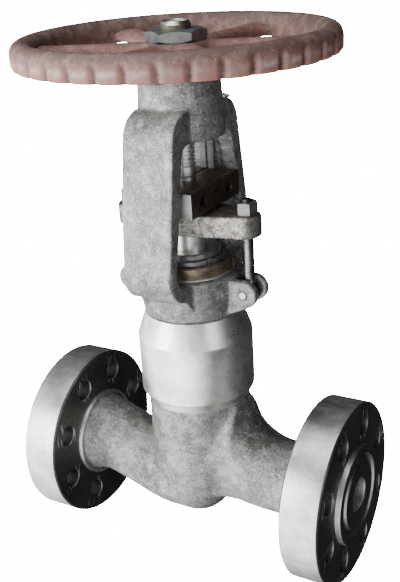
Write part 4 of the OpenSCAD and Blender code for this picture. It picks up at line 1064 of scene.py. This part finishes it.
def grease_nipple():
    """Nipple with a small hexagon and a ball nose, screwed into the hub."""
    seat = 63
    nose = lathe(rounded([
        (0, seat - 8), (2.9, seat - 8), (2.9, seat + 3), (3.4, seat + 6), (3.0, seat + 7.5),
        (2.2, seat + 9), (3.2, seat + 11), (2.2, seat + 12.8), (0, seat + 13),
    ], 0.5), 32)
    nipple = joined([nose, hexagon(8.6, seat + 3, seat + 6, 1)])
    nipple = moved(moved(nipple, turn=90, axis="Y"), (0, 0, NIPPLE_Z))
    piece("nipple", moved(nipple, turn=SPOKE_TURN), "body_and_yoke", NUT_STEEL,
          ["grease_nipple"])


# Stem and clamp

def stem():
    """Rising stem: button, backseat shoulder, shank, waist and left-handed thread."""
    shank = lathe(rounded([
        (0, 44.15), (17, 44.15), (STEM_COLLAR_R, 48.1), (STEM_COLLAR_R, 58.1), (STEM_R, 58.1),
        (STEM_R, 139), (STEM_COLLAR_R, 144), (STEM_COLLAR_R, 152), (STEM_R, 156),
        (STEM_R, CLAMP_LOW_Z), (STEM_WAIST_R, CLAMP_LOW_Z), (STEM_WAIST_R, 513), (STEM_R, 515),
        (STEM_R, 529), (15.4, 531), (0, 531),
    ], 0.3), 64)
    screw = thread(STEM_R, 15.2, STEM_THREAD_LEAD, 529.5, STEM_TOP_Z)
    tip = lathe([(0, 520), (20, 520), (20, STEM_TOP_Z - 4), (15.5, STEM_TOP_Z), (0, STEM_TOP_Z)], 64)
    whole = joined([shank, cut(screw, [tip], "INTERSECT")])
    piece("stem_bar", whole, "stem", BRIGHT, ["stem"])


def clamp_half(turn, name):
    """Half of the clamp that keeps the stem from turning, slotted for the guide ribs."""
    split, back = 0.5, 54.5
    body = block((split, -CLAMP_END_Y, CLAMP_LOW_Z), (back, CLAMP_END_Y, CLAMP_TOP_Z), 1.8)
    low, high = CLAMP_LOW_Z - 7, CLAMP_TOP_Z + 8
    bore_r, recess_r = CLAMP_SCREW_R + 0.1, CLAMP_HEAD_R + 0.1
    screw_bore = [
        (0, -2), (bore_r, -2), (bore_r, CLAMP_HEAD_SEAT), (recess_r, CLAMP_HEAD_SEAT),
        (recess_r, 53.8), (CLAMP_HEAD_R + 1, 55), (CLAMP_HEAD_R + 1, 57), (0, 57),
    ]
    tools = [drill(STEM_WAIST_R + 0.1, low, high)]
    for side in (-1, 1):
        low_y, high_y = sorted((side * (RIB_Y - 1), side * (CLAMP_END_Y + 2)))
        tools.append(block((-2, low_y, low), (RIB_HALF_X + 0.3, high_y, high), 0))
        bore = moved(lathe(screw_bore, 48), turn=90, axis="Y")
        tools.append(moved(bore, (0, side * CLAMP_SCREW_Y, CLAMP_MIDDLE_Z)))
    half = moved(cut(body, tools), turn=turn)
    piece(name + "_block", half, "stem", CLAMP_STEEL, [name])


def clamp_screws():
    """Two socket screws through both halves, each with its round nut."""
    screws = []
    end, seat, socket_r = 51.5, CLAMP_HEAD_SEAT, 5.8
    outline = rounded([
        (0, -end), (CLAMP_HEAD_R - 1, -end), (CLAMP_HEAD_R, 1 - end), (CLAMP_HEAD_R, -seat),
        (CLAMP_SCREW_R, -seat), (CLAMP_SCREW_R, seat), (CLAMP_HEAD_R, seat),
        (CLAMP_HEAD_R, end - 1), (CLAMP_HEAD_R - 1, end), (0, end),
    ], 0.4)
    for side in (-1, 1):
        bar = lathe(outline, 48)
        socket = prism(arc((0, 0), socket_r, 0, 300, 5), end - 6, 60)
        bar = moved(cut(bar, [socket]), turn=90, axis="Y")
        screws.append(moved(bar, (0, side * CLAMP_SCREW_Y, CLAMP_MIDDLE_Z)))
    piece("clamp_screw_bars", joined(screws), "stem", DARK, ["stem_clamp_screws"])


# Handwheel

def wheel_rim():
    """Rim with a broad round top and bulging grip lobes between flutes."""
    top = [(230.5 + 17.5 * cos(radians(a)), 719 + 18 * sin(radians(a))) for a in range(0, 181, 12)]
    section = [
        *arc((241, RIM_LOW_Z + 8), 7, -80, 0), (WHEEL_R, 710), *top, (212.5, 708),
        *arc((216.5, RIM_LOW_Z + 6), 4, 170, 250, 4),
    ]
    bm = lathe(rounded(section, 1.5, closed=True, steps=2), LOBES * 16, closed=True)
    flute_depth, flute_share, bulge = 4.6, 0.42, 1.3
    fade_low, fade_height = 714, 17
    inner_r, edge_width = 234, 9
    for vert in bm.verts:
        r = hypot(vert.co.x, vert.co.y)
        part = (atan2(vert.co.y, vert.co.x) / (2 * pi) * LOBES) % 1
        from_groove = abs(part - 0.5) * 2
        depth = flute_depth * (1 - ease(from_groove / flute_share)) + bulge * (1 - from_groove)
        fade = 1 - ease((vert.co.z - fade_low) / fade_height)
        scale = (r - depth * fade * ease((r - inner_r) / edge_width)) / r
        vert.co.x *= scale
        vert.co.y *= scale
    return bm


def wheel_spider():
    """Hub and round-topped spokes that flare into the rim."""
    low, top = 679.5, 720
    hub = lathe(rounded([
        (0, low), (WHEEL_HUB_R - 2, low), (WHEEL_HUB_R, 684), (WHEEL_HUB_R, 712),
        (WHEEL_HUB_R - 5, top), (0, top),
    ], 2))
    half_widths = [
        (46, 23), (60, 17), (80, 14.5), (120, 13.5), (170, 14), (188, 16), (200, 22), (208, 29),
        (215, 37),
    ]
    spokes = []
    for i in range(SPOKE_COUNT):
        spoke = loft([(x, SPOKE_Z, half_w, SPOKE_HALF_HEIGHT) for x, half_w in half_widths], 32)
        spokes.append(moved(spoke, turn=SPOKE_TURN + i * 360 / SPOKE_COUNT))
    web = ring([(211, 700), (222, 700), (226, 714), (216, 714)], 144, 2)
    skin = cast([hub, web, *spokes], voxel=2.4, relax=6)
    return cut(skin, [drill(SLEEVE_R + 0.1, low - 9.5, top + 10)])


def handwheel():
    """The painted wheel and the bare nut that holds it on the sleeve."""
    piece("handwheel_rim", wheel_rim(), "handwheel", PRIMER, ["handwheel"], sharp=60)
    piece("handwheel_spider", wheel_spider(), "handwheel", PRIMER,
          ["handwheel"], sharp=60)
    nut = hexagon(82, WHEEL_HUB_TOP_Z, WHEEL_NUT_TOP_Z, SLEEVE_THREAD_R + 0.2, turn=SPOKE_TURN + 8)
    piece("wheel_nut", nut, "handwheel", NUT_STEEL, ["handwheel_nut"])


def sleeve():
    """Bronze nut that the wheel turns, with a flange between the bearings and a threaded end."""
    low, flange_low, flange_top, shoulder = 583, 623.2, 637.1, 718.3
    outline = [
        (STEM_HOLE_R, low), (SLEEVE_R - 1, low), (SLEEVE_R, low + 1), (SLEEVE_R, flange_low),
        (SLEEVE_FLANGE_R, flange_low), (SLEEVE_FLANGE_R, flange_top), (SLEEVE_R, flange_top),
        (SLEEVE_R, shoulder), (SLEEVE_THREAD_R, shoulder), (SLEEVE_THREAD_R, 730),
        *flanks(731, 745, SLEEVE_THREAD_R, 22.5, 2), (22.4, 745.2), (21.4, 747.6),
        (19.8, SLEEVE_TOP_Z), (18.9, SLEEVE_TOP_Z), (STEM_HOLE_R, 748.4),
    ]
    piece("sleeve", lathe(outline, 96, closed=True), "handwheel", BRONZE, ["yoke_nut"])


body_casting()
neck()
flange(-1, "inlet_flange")
flange(1, "outlet_flange")
hub_edges()
bonnet()
retainer_plate()
take_up_nut()
follower()
gland_flange()
for way, end in ((-1, "inlet"), (1, "outlet")):
    eye_bolt(way, "eye_bolt_" + end)
    clevis_pin(way, "clevis_pin_" + end)
    gland_nut(way, "gland_nut_" + end)
yoke()
guide_ways()
retainer_ring()
grease_nipple()
stem()
clamp_half(0, "stem_clamp_outlet_half")
clamp_half(180, "stem_clamp_inlet_half")
clamp_screws()
handwheel()
sleeve()
dress_nodes()
studio_sky()
paper_floor()
lamps()
photo_camera()
